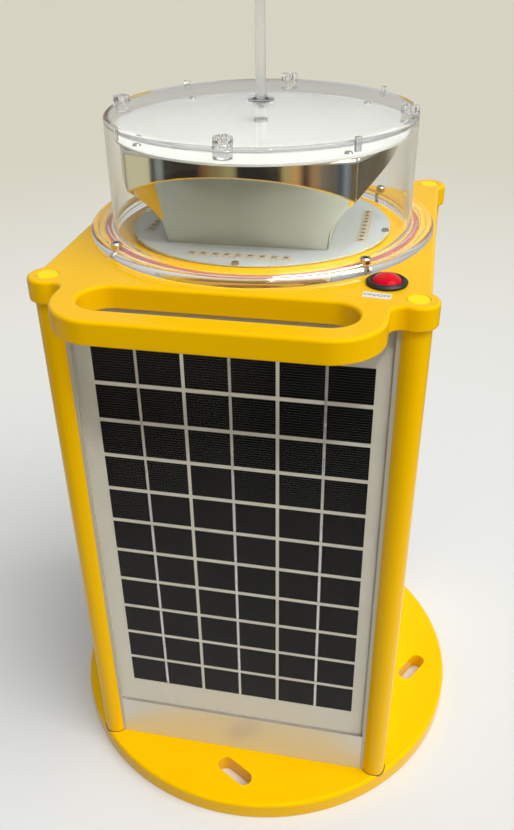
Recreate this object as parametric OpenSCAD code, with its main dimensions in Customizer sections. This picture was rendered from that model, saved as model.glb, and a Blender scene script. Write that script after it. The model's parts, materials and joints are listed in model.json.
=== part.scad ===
// Solar LED warning lantern: bolt-down base, four posts, four solar panels, carrying handle, drum lens.
// Origin: centre of the base plate's underside. +Z up, the handle and the switch at the front (-Y).

/* [Base plate] */
// Diameter of the round base plate
base_d = 360; // [350:1:380]
// Thickness of the base plate
base_t = 16.8; // [16:0.2:20]
// Width of each bolt slot
slot_w = 13.5; // [11:0.5:14]
// Length of each bolt slot, end to end
slot_len = 35; // [28:1:38]
// Distance from the axis to the middle of each slot
slot_r = 148.5; // [146:0.5:152]
// Slant of each slot away from the tangent
slot_slant = 30; // [0:5:35]

/* [Frame] */
// Outer diameter of each corner post
post_d = 20.6; // [19:0.2:20.6]
// Distance of the posts from the middle planes
post_offset = 119.5; // [119.5:0.5:121]
// Height of the top plate's upper face
deck_z = 467.2; // [440:0.2:480]
// Thickness of the top plate
deck_t = 16.2; // [16:0.2:18]
// Half width of the square part of the top plate
deck_half = 127.7; // [127:0.1:129]
// Radius of the lobe over each post
lobe_r = 13.7; // [13:0.1:15]
// How far the front edge of the handle is from the axis
handle_front = 184; // [182:1:190]
// Width of the hand slot
hand_slot_w = 35.3; // [30:0.1:36]
// Length of the hand slot, end to end
hand_slot_len = 173.8; // [140:0.2:176]

/* [Solar panels] */
// Distance from the axis to the glass face
panel_face = 125.5; // [125:0.1:126]
// Half width of a panel
panel_half = 109.2; // [100:0.1:109.2]
// Height of the panel's lower edge
panel_low = 60.6; // [55:0.2:70]
// Height of the panel's upper edge
panel_high = 446.8; // [430:0.2:447]
// Width of one solar cell
cell_w = 62.5; // [50:0.5:64]
// Height of one solar cell
cell_h = 27.1; // [20:0.1:29]
// Number of cells up the panel
cell_rows = 11; // [6:1:11]

/* [Lamp] */
// Outer radius of the lens flange
flange_r = 125.6; // [124:0.1:126]
// Outer radius of the lens wall
lens_r = 109; // [107:0.5:110]
// Height of the lens rim
lens_top_z = 549.6; // [545:0.2:560]
// Number of LEDs in each row
leds_per_row = 9; // [3:2:9]
// Spacing of the LEDs
led_pitch = 8; // [6:0.5:9]
// Length of the bird spike above the lens
spike_len = 148; // [80:1:200]

/* [Switch] */
// Distance of the push button from each middle plane
button_xy = 99; // [98.5:0.1:99.2]
// Diameter of the button's black bezel
bezel_d = 26.6; // [25:0.2:26.8]
// Diameter of the red cap
cap_d = 18.6; // [16:0.2:18.6]

/* [Hidden] */
$fn = 96;

// Finish colours
YELLOW = "#FFC800";
LEMON = "#FFE600";
STEEL = "#B8BCC0";
ALLOY = "#C8CACC";
WHITE = "#F2F2EE";
BLACK = "#1C1C1E";
CLEAR = [0.85, 0.92, 0.95, 0.35];

// Base plate and posts
base_edge_r = 3.5;
post_bore_d = 14;
post_seat = 5;
seat_gap = 0.6;
deck_low = deck_z - deck_t;
post_low = base_t - post_seat;
post_high = deck_low + post_seat - 1;
insert_len = 24;
bolt_d = 8;
bolt_hole_d = 9;
bolt_head_d = 13.6;
bolt_head_h = 4.4;
bolt_pocket_d = 14.8;
bolt_pocket_h = 5;
plug_t = 3;
plug_d = 14.3;
plug_floor = 0.4;
deck_pocket_h = plug_t + plug_floor + bolt_head_h;
bolt_socket = 5.8;
bolt_socket_h = 2.6;
insert_gap = 4;

// Pressure vent
vent_y = -60;
vent_d = 12;
vent_flange_d = 18;
vent_pocket_d = 20;
vent_pocket_h = 5;
vent_bore_d = 4;

// Deck outline
side_fillet = 6;
notch_fillet = 8;
handle_half = 104;
handle_corner_r = 35;
lead_hole_d = 24;

// Body
chassis_half = 121.5;
chassis_wall = 3;
recess_r = post_d / 2 + 0.9;
gasket_t = 1.6;
chassis_low = base_t + gasket_t;
chassis_high = deck_low - gasket_t;
backsheet_t = 0.6;
cell_t = 0.2;
glass_back = chassis_half + backsheet_t + cell_t + 0.1;
grid_low = 86.6;
row_pitch = 30.35;
column_pitch = 65;
grid_shift = 1.2;
skirt_low = base_t + 0.2;
skirt_high = panel_low - 0.6;
panel_lead_z = 400;
panel_lead_d = 6;
box_size = [44, 14, 32];

// Inside
battery_size = [92, 150, 95];
battery_gap = 4;
tray_t = 2;
tray_z = 22;
tray_h = 30;
terminal_size = [12, 6, 5];
strap_w = 30;
strap_t = 2;
shelf_z = 190;
shelf_t = 2;
shelf_depth = 120;
shelf_lip = 18;
grommet_at = [-95, -1];
board_size = [150, 100, 1.6];
board_z = shelf_z + 10;
board_stud_at = [68, 43];
lead_r = 1.6;

// Blocks on the control board: left, front, width, depth, height
BOARD_BLOCKS = [
  [10, 8, 26, 26, 14],
  [-50, -20, 14, 14, 2],
  [45, -30, 10, 50, 12],
  [-66, -30, 9, 50, 11],
  [-10, -44, 40, 10, 11],
  [-8, -18, 24, 18, 6]
];

// Lamp
heat_spreader_t = 2.4;
board_t = 1.6;
lamp_board_z = deck_z + heat_spreader_t + board_t;
lamp_board_r = 93.7;
led_row_y = 76;
focal = 21;
disc_r = 102.6;
disc_t = 1.5;
disc_low = 537.1;
cap_screw_r = 96;
stud_d = 5;
reflector_wall = 1.4;
band_mid = 94;
band_corner = 73.5;
band_sag = band_mid - band_corner;
band_r = (band_corner * band_corner + band_sag * band_sag) / (2 * band_sag);
flange_low = deck_z + 0.5;
flange_t = 6.1;
lens_wall = 3.4;
lens_dome = 3.9;
screw_r = 118.6;
lens_screw_d = 4;
lens_head_d = 7.6;
lens_head_h = 3.9;
lens_socket = 3.4;
screw_depth = 8;
rim_turn = -1.75;
boss_r = 102.3;
boss_d = 12.2;
boss_drop = 8.4;
boss_rise = 5;
boss_bore = 4.2;
flutes = 10;
led_size = 3.4;
led_dome_d = 2.8;
small_screw_d = 3;
clip_size = [12, 12, 10];
clip_front = 100.5;
gasket_in_r = 109.6;
gasket_out_r = 115.2;
gasket_groove = 1.5;

// Switch
bezel_low = deck_z + 0.8;
bezel_high = bezel_low + 2.4;
thread_d = 21.8;
hole_d = 22.3;
bezel_floor = 446;
bezel_foot = 442;
cap_gap = 0.25;
cap_low = 461;
cap_rim = 469.8;
cap_dome = 4.1;
button_travel = 2.5;
stem_d = 5;
stem_low = 440;
block_size = [17, 17, 20];
block_low = stem_low - block_size[2] - button_travel - 0.2;
nut_d = 28;
nut_h = 5;
label_at = [94.4, -118.8];
label_turn = -6;
label_size = [17.4, 7.8, 0.2];

function arc(cx, cy, r, a0, a1, n = 8) =
  [for (i = [0:n]) [cx + r * cos(a0 + (a1 - a0) * i / n), cy + r * sin(a0 + (a1 - a0) * i / n)]];

// Distance of the reflecting face from the axis at height h above the LEDs: a parabola with its focus there
function trough(h) = led_row_y - focal + h * h / (4 * focal);

module on_side(turn) {
  rotate([0, 0, turn]) children();
}

module at_corners(offset_xy) {
  for (sx = [-1, 1])
    for (sy = [-1, 1])
      translate([sx * offset_xy, sy * offset_xy, 0]) children();
}

// ---- base plate ----

module base_plate() {
  edge = base_edge_r;
  color(YELLOW)
    difference() {
      rotate_extrude($fn = 180)
        polygon(concat(
          [[0, 0]],
          arc(base_d / 2 - 1, 1, 1, -90, 0, 3),
          arc(base_d / 2 - edge, base_t - edge, edge, 0, 90, 6),
          [[0, base_t]]
        ));
      for (turn = [0:90:270]) on_side(turn) bolt_slot();
      at_corners(post_offset) {
        translate([0, 0, post_low]) cylinder(d = post_d + 2 * seat_gap, h = base_t);
        translate([0, 0, -1]) cylinder(d = bolt_hole_d, h = base_t + 2);
        translate([0, 0, -1]) cylinder(d = bolt_pocket_d, h = bolt_pocket_h + 1);
      }
      translate([0, vent_y, -1]) cylinder(d = vent_d, h = base_t + 2);
      translate([0, vent_y, -1]) cylinder(d = vent_pocket_d, h = vent_pocket_h + 1);
    }
}

module bolt_slot() {
  translate([0, -slot_r, -1])
    rotate([0, 0, -slot_slant])
      linear_extrude(base_t + 2) {
        square([slot_len - slot_w, slot_w], center = true);
        for (s = [-1, 1]) translate([s * (slot_len - slot_w) / 2, 0]) circle(d = slot_w);
      }
}

// Breathable vent: a plug with a flanged head in the underside's pocket
module pressure_vent() {
  color(BLACK)
    translate([0, vent_y, 0])
      difference() {
        union() {
          translate([0, 0, vent_pocket_h - 3]) cylinder(d = vent_flange_d, h = 3);
          translate([0, 0, vent_pocket_h - 1]) cylinder(d = vent_d, h = base_t - 2);
        }
        translate([0, 0, -1]) cylinder(d = vent_bore_d, h = base_t + 8);
      }
}

// ---- posts ----

module post(sx, sy) {
  color(YELLOW)
    translate([sx * post_offset, sy * post_offset, post_low])
      difference() {
        cylinder(d = post_d, h = post_high - post_low);
        translate([0, 0, -1]) cylinder(d = post_bore_d, h = post_high - post_low + 2);
      }
}

module post_front_left() { post(-1, -1); }
module post_front_right() { post(1, -1); }
module post_rear_right() { post(1, 1); }
module post_rear_left() { post(-1, 1); }

// Threaded inserts pressed into both ends of each post
module post_inserts() {
  color(STEEL)
    at_corners(post_offset)
      for (z = [post_low, post_high - insert_len])
        translate([0, 0, z])
          difference() {
            cylinder(d = post_bore_d, h = insert_len);
            translate([0, 0, -1]) cylinder(d = bolt_d, h = insert_len + 2);
          }
}

// Button-head bolt, head downwards, its head resting at z = 0 and its shank rising
module frame_bolt(shank) {
  difference() {
    union() {
      cylinder(d = bolt_d, h = shank);
      translate([0, 0, -bolt_head_h]) cylinder(d1 = bolt_head_d - 4, d2 = bolt_head_d, h = bolt_head_h);
    }
    translate([0, 0, -bolt_head_h - 1]) cylinder(d = bolt_socket, h = bolt_socket_h + 1, $fn = 6);
  }
}

module base_bolts() {
  color(STEEL)
    at_corners(post_offset)
      translate([0, 0, bolt_pocket_h])
        frame_bolt(post_low - bolt_pocket_h + insert_len - insert_gap);
}

module top_bolts() {
  seat = deck_z - deck_pocket_h;
  color(STEEL)
    at_corners(post_offset)
      translate([0, 0, seat])
        mirror([0, 0, 1]) frame_bolt(seat - post_high + insert_len - insert_gap);
}

module corner_plugs() {
  color(LEMON)
    at_corners(post_offset)
      translate([0, 0, deck_z - plug_t]) {
        cylinder(d = plug_d, h = plug_t - 0.5);
        translate([0, 0, plug_t - 0.5]) cylinder(d1 = plug_d, d2 = plug_d - 0.8, h = 0.4);
      }
}

// ---- top plate ----

// The outline runs anticlockwise up its right half, and its left half is the mirror image. Each lobe
// meets a straight side in a concave fillet, and each front lobe meets the handle in another.
side_rise = deck_half + side_fillet - post_offset;
side_reach = lobe_r + side_fillet;
side_back = post_offset - sqrt(side_reach * side_reach - side_rise * side_rise);
side_turn = atan2(side_rise, post_offset - side_back);
notch_x = handle_half + notch_fillet;
notch_reach = lobe_r + notch_fillet;
notch_drop = sqrt(notch_reach * notch_reach - (post_offset - notch_x) * (post_offset - notch_x));
notch_turn = atan2(notch_drop, post_offset - notch_x);

function rear_lobe() = concat(
  arc(deck_half + side_fillet, side_back, side_fillet, 180, 180 - (90 - side_turn), 5),
  arc(post_offset, post_offset, lobe_r, side_turn - 90, 180 - side_turn, 16),
  arc(side_back, deck_half + side_fillet, side_fillet, -side_turn, -90, 5)
);

function front_lobe() = concat(
  arc(notch_x, -post_offset - notch_drop, notch_fillet, 180, notch_turn, 7),
  arc(post_offset, -post_offset, lobe_r, notch_turn - 180, 90 - side_turn, 16),
  arc(deck_half + side_fillet, -side_back, side_fillet, 270 - side_turn, 180, 5)
);

function right_half() = concat(
  arc(handle_half - handle_corner_r, handle_corner_r - handle_front, handle_corner_r, -90, 0, 14),
  front_lobe(),
  rear_lobe()
);

module deck_outline() {
  half = right_half();
  polygon(concat(half, [for (i = [len(half) - 1:-1:0]) [-half[i][0], half[i][1]]]));
}

module hand_slot_outline() {
  r = hand_slot_w / 2;
  half = hand_slot_len / 2 - r;
  translate([0, -handle_front + 17.6 + r]) {
    square([2 * half, hand_slot_w], center = true);
    for (s = [-1, 1]) translate([s * half, 0]) circle(r = r);
  }
}

module top_plate() {
  color(YELLOW)
    difference() {
      translate([0, 0, deck_low]) linear_extrude(deck_t) deck_outline();
      translate([0, 0, deck_low - 1]) linear_extrude(deck_t + 2) hand_slot_outline();
      at_corners(post_offset) {
        translate([0, 0, deck_low - 1]) cylinder(d = post_d + 0.4, h = post_high - deck_low + 1);
        translate([0, 0, deck_low]) cylinder(d = bolt_hole_d, h = deck_t + 1);
        translate([0, 0, deck_z - deck_pocket_h]) cylinder(d = bolt_pocket_d, h = deck_t);
      }
      translate([button_xy, -button_xy, deck_low - 1]) cylinder(d = hole_d, h = deck_t + 2);
      translate([0, 0, deck_low - 1]) cylinder(d = lead_hole_d, h = deck_t + 2);
      at_corners(screw_r / sqrt(2)) translate([0, 0, deck_z - 9]) cylinder(d = lens_screw_d, h = 10);
      translate([0, 0, deck_z - gasket_groove])
        difference() {
          cylinder(r = gasket_out_r, h = deck_t);
          translate([0, 0, -1]) cylinder(r = gasket_in_r, h = deck_t + 2);
        }
    }
}

// ---- body ----

// Square with a round recess at each corner for its post
module body_outline(half, recess) {
  difference() {
    square(2 * half, center = true);
    for (sx = [-1, 1])
      for (sy = [-1, 1])
        translate([sx * post_offset, sy * post_offset]) circle(r = recess);
  }
}

module body_ring(low, high) {
  translate([0, 0, low])
    linear_extrude(high - low)
      difference() {
        body_outline(chassis_half, recess_r);
        body_outline(chassis_half - chassis_wall, recess_r + chassis_wall);
      }
}

module chassis() {
  color(ALLOY)
    difference() {
      body_ring(chassis_low, chassis_high);
      for (turn = [0:90:270])
        on_side(turn)
          translate([0, -chassis_half + 4, panel_lead_z])
            rotate([90, 0, 0]) cylinder(d = panel_lead_d + 4, h = 8);
    }
}

module body_gaskets() {
  color(BLACK) {
    body_ring(base_t, chassis_low);
    body_ring(chassis_high, deck_low);
  }
}

module skirt_plates() {
  color(ALLOY)
    for (turn = [0:90:270])
      on_side(turn)
        translate([-panel_half, -panel_face, skirt_low])
          cube([2 * panel_half, panel_face - chassis_half, skirt_high - skirt_low]);
}

// ---- solar panels ----

module panel_layer(front, back) {
  translate([-panel_half, -front, panel_low])
    cube([2 * panel_half, front - back, panel_high - panel_low]);
}

module solar_backsheet(turn) {
  color(WHITE)
    on_side(turn)
      difference() {
        panel_layer(chassis_half + backsheet_t, chassis_half);
        translate([0, -chassis_half + 1, panel_lead_z])
          rotate([90, 0, 0]) cylinder(d = panel_lead_d, h = 3);
      }
}

module solar_cells(turn) {
  color("#161618")
    on_side(turn)
      for (column = [-1:1])
        for (row = [0:cell_rows - 1])
          translate([
            column * column_pitch + grid_shift - cell_w / 2,
            -chassis_half - backsheet_t - cell_t,
            grid_low + (row + 0.5) * row_pitch - cell_h / 2
          ])
            cube([cell_w, cell_t, cell_h]);
}

module solar_glass(turn) {
  color(CLEAR) on_side(turn) panel_layer(panel_face, glass_back);
}

module solar_backsheet_front() { solar_backsheet(0); }
module solar_backsheet_right() { solar_backsheet(90); }
module solar_backsheet_rear() { solar_backsheet(180); }
module solar_backsheet_left() { solar_backsheet(270); }
module solar_cells_front() { solar_cells(0); }
module solar_cells_right() { solar_cells(90); }
module solar_cells_rear() { solar_cells(180); }
module solar_cells_left() { solar_cells(270); }
module solar_glass_front() { solar_glass(0); }
module solar_glass_right() { solar_glass(90); }
module solar_glass_rear() { solar_glass(180); }
module solar_glass_left() { solar_glass(270); }

// One box behind each panel, over the hole that its leads come through
module junction_boxes() {
  inner = chassis_half - chassis_wall;
  color(BLACK)
    for (turn = [0:90:270])
      on_side(turn)
        translate([-box_size[0] / 2, -inner, panel_lead_z - box_size[2] / 2])
          difference() {
            cube(box_size);
            translate([box_size[0] / 2, -1, box_size[2] / 2])
              rotate([-90, 0, 0]) cylinder(d = panel_lead_d + 4, h = 8);
            translate([box_size[0] / 2 - 6, box_size[1] / 2, -1]) cylinder(r = lead_r, h = 3);
          }
}

// ---- inside ----

module battery_tray() {
  w = 2 * battery_size[0] + battery_gap + 2 * tray_t + 1;
  d = battery_size[1] + 2 * tray_t + 1;
  color(ALLOY)
    difference() {
      translate([-w / 2, -d / 2, tray_z - tray_t]) cube([w, d, tray_h]);
      translate([-w / 2 + tray_t, -d / 2 + tray_t, tray_z])
        cube([w - 2 * tray_t, d - 2 * tray_t, tray_h]);
    }
  color(ALLOY)
    for (sx = [-1, 1])
      for (sy = [-1, 1])
        translate([sx * 70, sy * 50, base_t]) cylinder(d = 12, h = tray_z - tray_t - base_t);
}

module battery(side) {
  x = side * (battery_size[0] + battery_gap) / 2;
  color("#3A3D42") {
    translate([x - battery_size[0] / 2, -battery_size[1] / 2, tray_z]) cube(battery_size);
    for (sy = [-1, 1])
      translate([x - terminal_size[0] / 2, sy * 60 - terminal_size[1] / 2, tray_z + battery_size[2]])
        cube(terminal_size);
  }
}

module battery_left() { battery(-1); }
module battery_right() { battery(1); }

// Steel strap over both batteries, its feet on the chassis floor beside the tray
module battery_strap() {
  reach = battery_size[0] + battery_gap / 2 + tray_t + 1.5;
  top = tray_z + battery_size[2];
  color(STEEL) {
    translate([-reach - strap_t, -strap_w / 2, top]) cube([2 * (reach + strap_t), strap_w, strap_t]);
    for (s = [-1, 1])
      translate([s * (reach + strap_t / 2) - strap_t / 2, -strap_w / 2, base_t])
        cube([strap_t, strap_w, top - base_t]);
  }
}

// Shelf across the chassis with four studs for the control board
module control_shelf() {
  inner = chassis_half - chassis_wall;
  color(ALLOY) {
    difference() {
      translate([-inner, -shelf_depth / 2, shelf_z]) cube([2 * inner, shelf_depth, shelf_t]);
      translate([grommet_at[0], grommet_at[1], shelf_z - 1]) cylinder(d = 20, h = shelf_t + 2);
    }
    for (s = [-1, 1])
      translate([s * (inner - shelf_t / 2) - shelf_t / 2, -shelf_depth / 2, shelf_z - shelf_lip])
        cube([shelf_t, shelf_depth, shelf_lip]);
    for (sx = [-1, 1])
      for (sy = [-1, 1])
        translate([sx * board_stud_at[0], sy * board_stud_at[1], shelf_z + shelf_t])
          cylinder(d = 6, h = board_z - shelf_z - shelf_t);
  }
}

module control_board() {
  color("#1F6B3A")
    translate([-board_size[0] / 2, -board_size[1] / 2, board_z]) cube(board_size);
}

module control_parts() {
  top = board_z + board_size[2];
  color(BLACK) {
    for (x = [-40, -22]) translate([x, 20, top]) cylinder(d = 13, h = 22);
    for (b = BOARD_BLOCKS) translate([b[0], b[1], top]) cube([b[2], b[3], b[4]]);
  }
}

// A lead: round runs between corner points, with a slightly fatter ball at each bend
module lead(points) {
  for (i = [0:len(points) - 2]) {
    step = points[i + 1] - points[i];
    run = norm(step);
    translate(points[i])
      rotate([0, acos(step[2] / run), atan2(step[1], step[0])])
        cylinder(r = lead_r, h = run, $fn = 24);
  }
  for (i = [1:len(points) - 2]) translate(points[i]) sphere(r = lead_r + 0.3, $fn = 24);
}

module wiring() {
  run = chassis_half - chassis_wall - 7;
  plug_z = board_z + board_size[2] + 11;
  terminal_z = tray_z + battery_size[2] + 5;
  color("#B02020") {
    // Panel leads, from each junction box down to the sockets on the board
    lead([[-6, -run, 386], [-6, -run, 240], [-6, -39, 240], [-6, -39, plug_z]]);
    lead([[6, run, 386], [6, run, 250], [50, run, 250], [50, 16, 250], [50, 16, plug_z + 1]]);
    lead([[run, -6, 386], [run, -6, 240], [50, -6, 240], [50, -6, plug_z + 1]]);
    lead([[-run, 6, 386], [-run, 6, 240], [-61.5, 6, 240], [-61.5, 6, plug_z]]);
    // Battery leads, from two terminals through the hole in the shelf
    lead([[-54, 60, terminal_z], [-54, 60, 150], [-95, 3, 150], [-95, 3, 224], [-61.5, -10, 224],
      [-61.5, -10, plug_z]]);
    lead([[54, -60, terminal_z], [54, -60, 160], [-95, -5, 160], [-95, -5, 232], [-61.5, -24, 232],
      [-61.5, -24, plug_z]]);
    // Lamp lead, up through the deck to the LED board
    lead([[4, -39, plug_z], [4, -39, 300], [0, 0, 330], [0, 0, deck_z - 1]]);
    // Switch lead
    lead([[26, -39, plug_z], [26, -39, 260], [button_xy, -button_xy, 330],
      [button_xy, -button_xy, block_low]]);
  }
}

// ---- lamp ----

module heat_spreader() {
  color(ALLOY)
    translate([0, 0, deck_z])
      difference() {
        cylinder(r = lamp_board_r - 2, h = heat_spreader_t, $fn = 180);
        translate([0, 0, -1]) cylinder(d = stud_d, h = heat_spreader_t + 2);
      }
}

board_screw_turns = [-90, -6, 90, 174];
board_screw_r = 91.2;

module led_board() {
  color(WHITE)
    translate([0, 0, lamp_board_z - board_t])
      difference() {
        cylinder(r = lamp_board_r, h = board_t, $fn = 180);
        for (turn = board_screw_turns)
          rotate([0, 0, turn])
            translate([board_screw_r, 0, -1]) cylinder(d = small_screw_d, h = board_t + 2);
        translate([0, 0, -1]) cylinder(d = stud_d, h = board_t + 2);
      }
}

module led_rows() {
  color("#E8C070")
    for (turn = [0:90:270])
      on_side(turn)
        for (i = [0:leds_per_row - 1])
          translate([(i - (leds_per_row - 1) / 2) * led_pitch - 1, -led_row_y, lamp_board_z]) {
            translate([-led_size / 2, -led_size / 2, 0]) cube([led_size, led_size, 0.7]);
            cylinder(d = led_dome_d, h = 1.5);
          }
}

module board_screws() {
  color(STEEL)
    for (turn = board_screw_turns)
      rotate([0, 0, turn])
        translate([board_screw_r, 0, lamp_board_z]) {
          cylinder(d1 = 5.5, d2 = 4.5, h = 1.6);
          translate([0, 0, -board_t]) cylinder(d = small_screw_d, h = board_t);
        }
}

// Space above and behind a trough whose face is moved back by shift
module trough_block(shift, high) {
  top = sqrt((band_mid + 2 - led_row_y + focal) * 4 * focal);
  rotate([90, 0, 90])
    translate([0, 0, -disc_r])
      linear_extrude(2 * disc_r)
        polygon(concat(
          [for (i = [0:20]) [shift - trough(top * i / 20), lamp_board_z + top * i / 20 + shift * 0.6]],
          [[shift - trough(top), high], [10, high], [10, lamp_board_z + shift * 0.6]]
        ));
}

module band_block(inset, low, high) {
  translate([0, -band_mid + band_r, low])
    cylinder(r = band_r - inset, h = high - low, $fn = 180);
}

module quarter_wedge(inset, low, high) {
  translate([0, -inset * sqrt(2), low])
    linear_extrude(high - low) polygon([[0, 0], [-disc_r, -disc_r], [disc_r, -disc_r]]);
}

// Chromed trough shell: parabolic face, outer band and two mitred ends
module reflector(turn) {
  color("#D8D8DA")
    on_side(turn)
      difference() {
        intersection() {
          trough_block(0, disc_low);
          band_block(0, lamp_board_z, disc_low);
          quarter_wedge(0.05, lamp_board_z, disc_low);
        }
        intersection() {
          trough_block(reflector_wall, disc_low + 5);
          band_block(reflector_wall, lamp_board_z, disc_low + 5);
          quarter_wedge(reflector_wall, lamp_board_z + 2, disc_low + 5);
        }
        translate([-15, -10, lamp_board_z - 1]) cube([30, 10, 80]);
        for (s = [-45, 45]) rotate([0, 0, s]) clip_block(0.1);
      }
}

module reflector_front() { reflector(0); }
module reflector_right() { reflector(90); }
module reflector_rear() { reflector(180); }
module reflector_left() { reflector(270); }

// Blocks inside the reflector's corners; the cap's screws go into them
module reflector_clips() {
  color(BLACK)
    for (turn = [45:90:315])
      on_side(turn)
        difference() {
          clip_block(0);
          translate([0, -cap_screw_r, disc_low - screw_depth])
            cylinder(d = small_screw_d, h = screw_depth + 1);
        }
}

module clip_block(room) {
  translate([-clip_size[0] / 2 - room, -clip_front - room, disc_low - clip_size[2] - room])
    cube(clip_size + 2 * room * [1, 1, 1]);
}

module reflector_cap() {
  color("white")
    translate([0, 0, disc_low])
      difference() {
        cylinder(r = disc_r, h = disc_t, $fn = 180);
        for (turn = [45:90:315])
          on_side(turn)
            translate([0, -cap_screw_r, -1]) cylinder(d = small_screw_d, h = disc_t + 2);
        translate([0, 0, -1]) cylinder(d = stud_d, h = disc_t + 2);
      }
}

module cap_screws() {
  color(STEEL)
    for (turn = [45:90:315])
      on_side(turn)
        translate([0, -cap_screw_r, disc_low - screw_depth]) {
          cylinder(d = small_screw_d, h = screw_depth + disc_t);
          translate([0, 0, screw_depth + disc_t]) cylinder(d1 = 5.6, d2 = 4.4, h = 1.2);
        }
}

// Stud from the heat spreader up through the reflectors, its head holding the cap down
module centre_stud() {
  foot = deck_z;
  head = disc_low + disc_t;
  color(STEEL) {
    translate([0, 0, foot]) cylinder(d = stud_d, h = head - foot);
    translate([0, 0, head]) cylinder(d = 2 * stud_d, h = 1.6);
  }
}

module lens() {
  top = lens_top_z;
  wall_in = lens_r - lens_wall;
  crown = top + lens_dome;
  color(CLEAR)
    difference() {
      union() {
        rotate_extrude($fn = 180)
          polygon(concat(
            [[wall_in, flange_low], [flange_r, flange_low]],
            arc(flange_r - 1.6, flange_low + flange_t - 1.6, 1.6, 0, 90, 5),
            arc(lens_r + 3, flange_low + flange_t + 3, 3, 270, 180, 5),
            arc(lens_r - 2.5, top - 2.5, 2.5, 0, 90, 5),
            [[lens_r * 0.6, top + lens_dome * 0.64], [lens_r * 0.3, top + lens_dome * 0.91], [0, crown]],
            [[0, crown - 3], [lens_r * 0.3, crown - 3.5], [lens_r * 0.6, crown - 4.5], [wall_in, top - 3.4]]
          ));
        for (turn = [0:90:270]) on_side(turn + rim_turn) rim_boss();
        for (turn = [45:90:315]) on_side(turn + rim_turn) rim_rib();
      }
      at_corners(screw_r / sqrt(2))
        translate([0, 0, flange_low - 1]) cylinder(d = lens_screw_d + 0.6, h = flange_t + 6);
      cylinder(d = 5, h = crown + 5);
    }
}

// Round boss inside the lens wall: it rises through the rim as a bored, fluted head
module rim_boss() {
  head = lens_top_z + boss_rise;
  translate([0, -boss_r, 0])
    difference() {
      translate([0, 0, lens_top_z - boss_drop]) cylinder(d = boss_d, h = boss_drop + boss_rise, $fn = 60);
      translate([0, 0, lens_top_z - 2]) cylinder(d = boss_bore, h = boss_rise + 3, $fn = 32);
      for (turn = [0:360 / flutes:359])
        rotate([0, 0, turn])
          translate([boss_d / 2 + 0.3, 0, lens_top_z + 0.8]) cylinder(d = 2.2, h = boss_rise, $fn = 24);
    }
}

module rim_rib() {
  translate([-2.2, -lens_r - 2, lens_top_z - 7]) cube([4.4, 6, 9]);
}

module lens_gasket() {
  color("#B06A50")
    translate([0, 0, deck_z - gasket_groove])
      difference() {
        cylinder(r = gasket_out_r, h = gasket_groove + 0.5, $fn = 180);
        translate([0, 0, -1]) cylinder(r = gasket_in_r, h = gasket_groove + 3, $fn = 180);
      }
}

module lens_screws() {
  seat = flange_low + flange_t;
  color(STEEL)
    at_corners(screw_r / sqrt(2))
      translate([0, 0, deck_z - screw_depth]) {
        cylinder(d = lens_screw_d, h = seat - deck_z + screw_depth);
        translate([0, 0, seat - deck_z + screw_depth])
          difference() {
            union() {
              cylinder(d = lens_head_d, h = lens_head_h - 0.9);
              translate([0, 0, lens_head_h - 0.9])
                cylinder(d1 = lens_head_d, d2 = lens_head_d - 1.6, h = 0.9);
            }
            translate([0, 0, lens_head_h - 2.3]) cylinder(d = lens_socket, h = 3, $fn = 6);
          }
      }
}

module spike_seal() {
  color(BLACK)
    translate([0, 0, lens_top_z + lens_dome])
      difference() {
        cylinder(d = 12, h = 0.8);
        translate([0, 0, -1]) cylinder(d = 5, h = 3);
      }
}

// Clear rod with a flange at its foot and a blunt point; its stud goes through the lens
module bird_spike() {
  foot = lens_top_z + lens_dome + 0.8;
  color(CLEAR)
    union() {
      translate([0, 0, foot])
        rotate_extrude()
          polygon([
            [0, 0], [9, 0], [9, 1.2], [7.6, 2.2], [4.4, 2.6], [3.9, 4.5], [3.3, spike_len * 0.5],
            [2.6, spike_len * 0.9], [0.6, spike_len - 1], [0, spike_len - 1]
          ]);
      translate([0, 0, foot - 7]) cylinder(d = 5, h = 8);
    }
}

// ---- push button ----

module at_button(z) {
  translate([button_xy, -button_xy, z]) children();
}

// Flange and threaded sleeve in one piece, with a floor that the stem slides through
module button_bezel() {
  color(BLACK)
    difference() {
      union() {
        at_button(bezel_low) cylinder(d1 = bezel_d, d2 = bezel_d - 3.4, h = bezel_high - bezel_low);
        at_button(bezel_foot) cylinder(d = thread_d, h = bezel_low - bezel_foot);
      }
      at_button(bezel_floor) cylinder(d = cap_d + 2 * cap_gap, h = 40);
      at_button(bezel_foot - 1) cylinder(d = stem_d + 0.4, h = 40);
    }
}

module button_seal() {
  color("#303034")
    at_button(deck_z)
      difference() {
        cylinder(d = bezel_d - 0.8, h = bezel_low - deck_z);
        translate([0, 0, -1]) cylinder(d = thread_d, h = 3);
      }
}

module button_nut() {
  color(BLACK)
    at_button(deck_low - nut_h)
      difference() {
        cylinder(d = nut_d, h = nut_h, $fn = 6);
        translate([0, 0, -1]) cylinder(d = thread_d, h = nut_h + 2);
      }
}

// Red domed cap, hollow below
module button_cap() {
  r = cap_d / 2;
  dome_r = (r * r + cap_dome * cap_dome) / (2 * cap_dome);
  color("#D01020")
    difference() {
      union() {
        at_button(cap_low) cylinder(r = r, h = cap_rim - cap_low);
        intersection() {
          at_button(cap_rim + cap_dome - dome_r) sphere(r = dome_r);
          at_button(cap_rim) cylinder(r = r, h = cap_dome + 1);
        }
      }
      at_button(cap_low - 1) cylinder(r = r - 1.6, h = 6);
    }
}

// Stem fixed in the cap, with a clip below the bezel that stops it coming out
module button_stem() {
  color(WHITE) {
    at_button(stem_low) cylinder(d = stem_d, h = cap_low + 5 - stem_low);
    at_button(bezel_foot - 1.4) cylinder(d = stem_d + 3, h = 1.2);
  }
}

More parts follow.
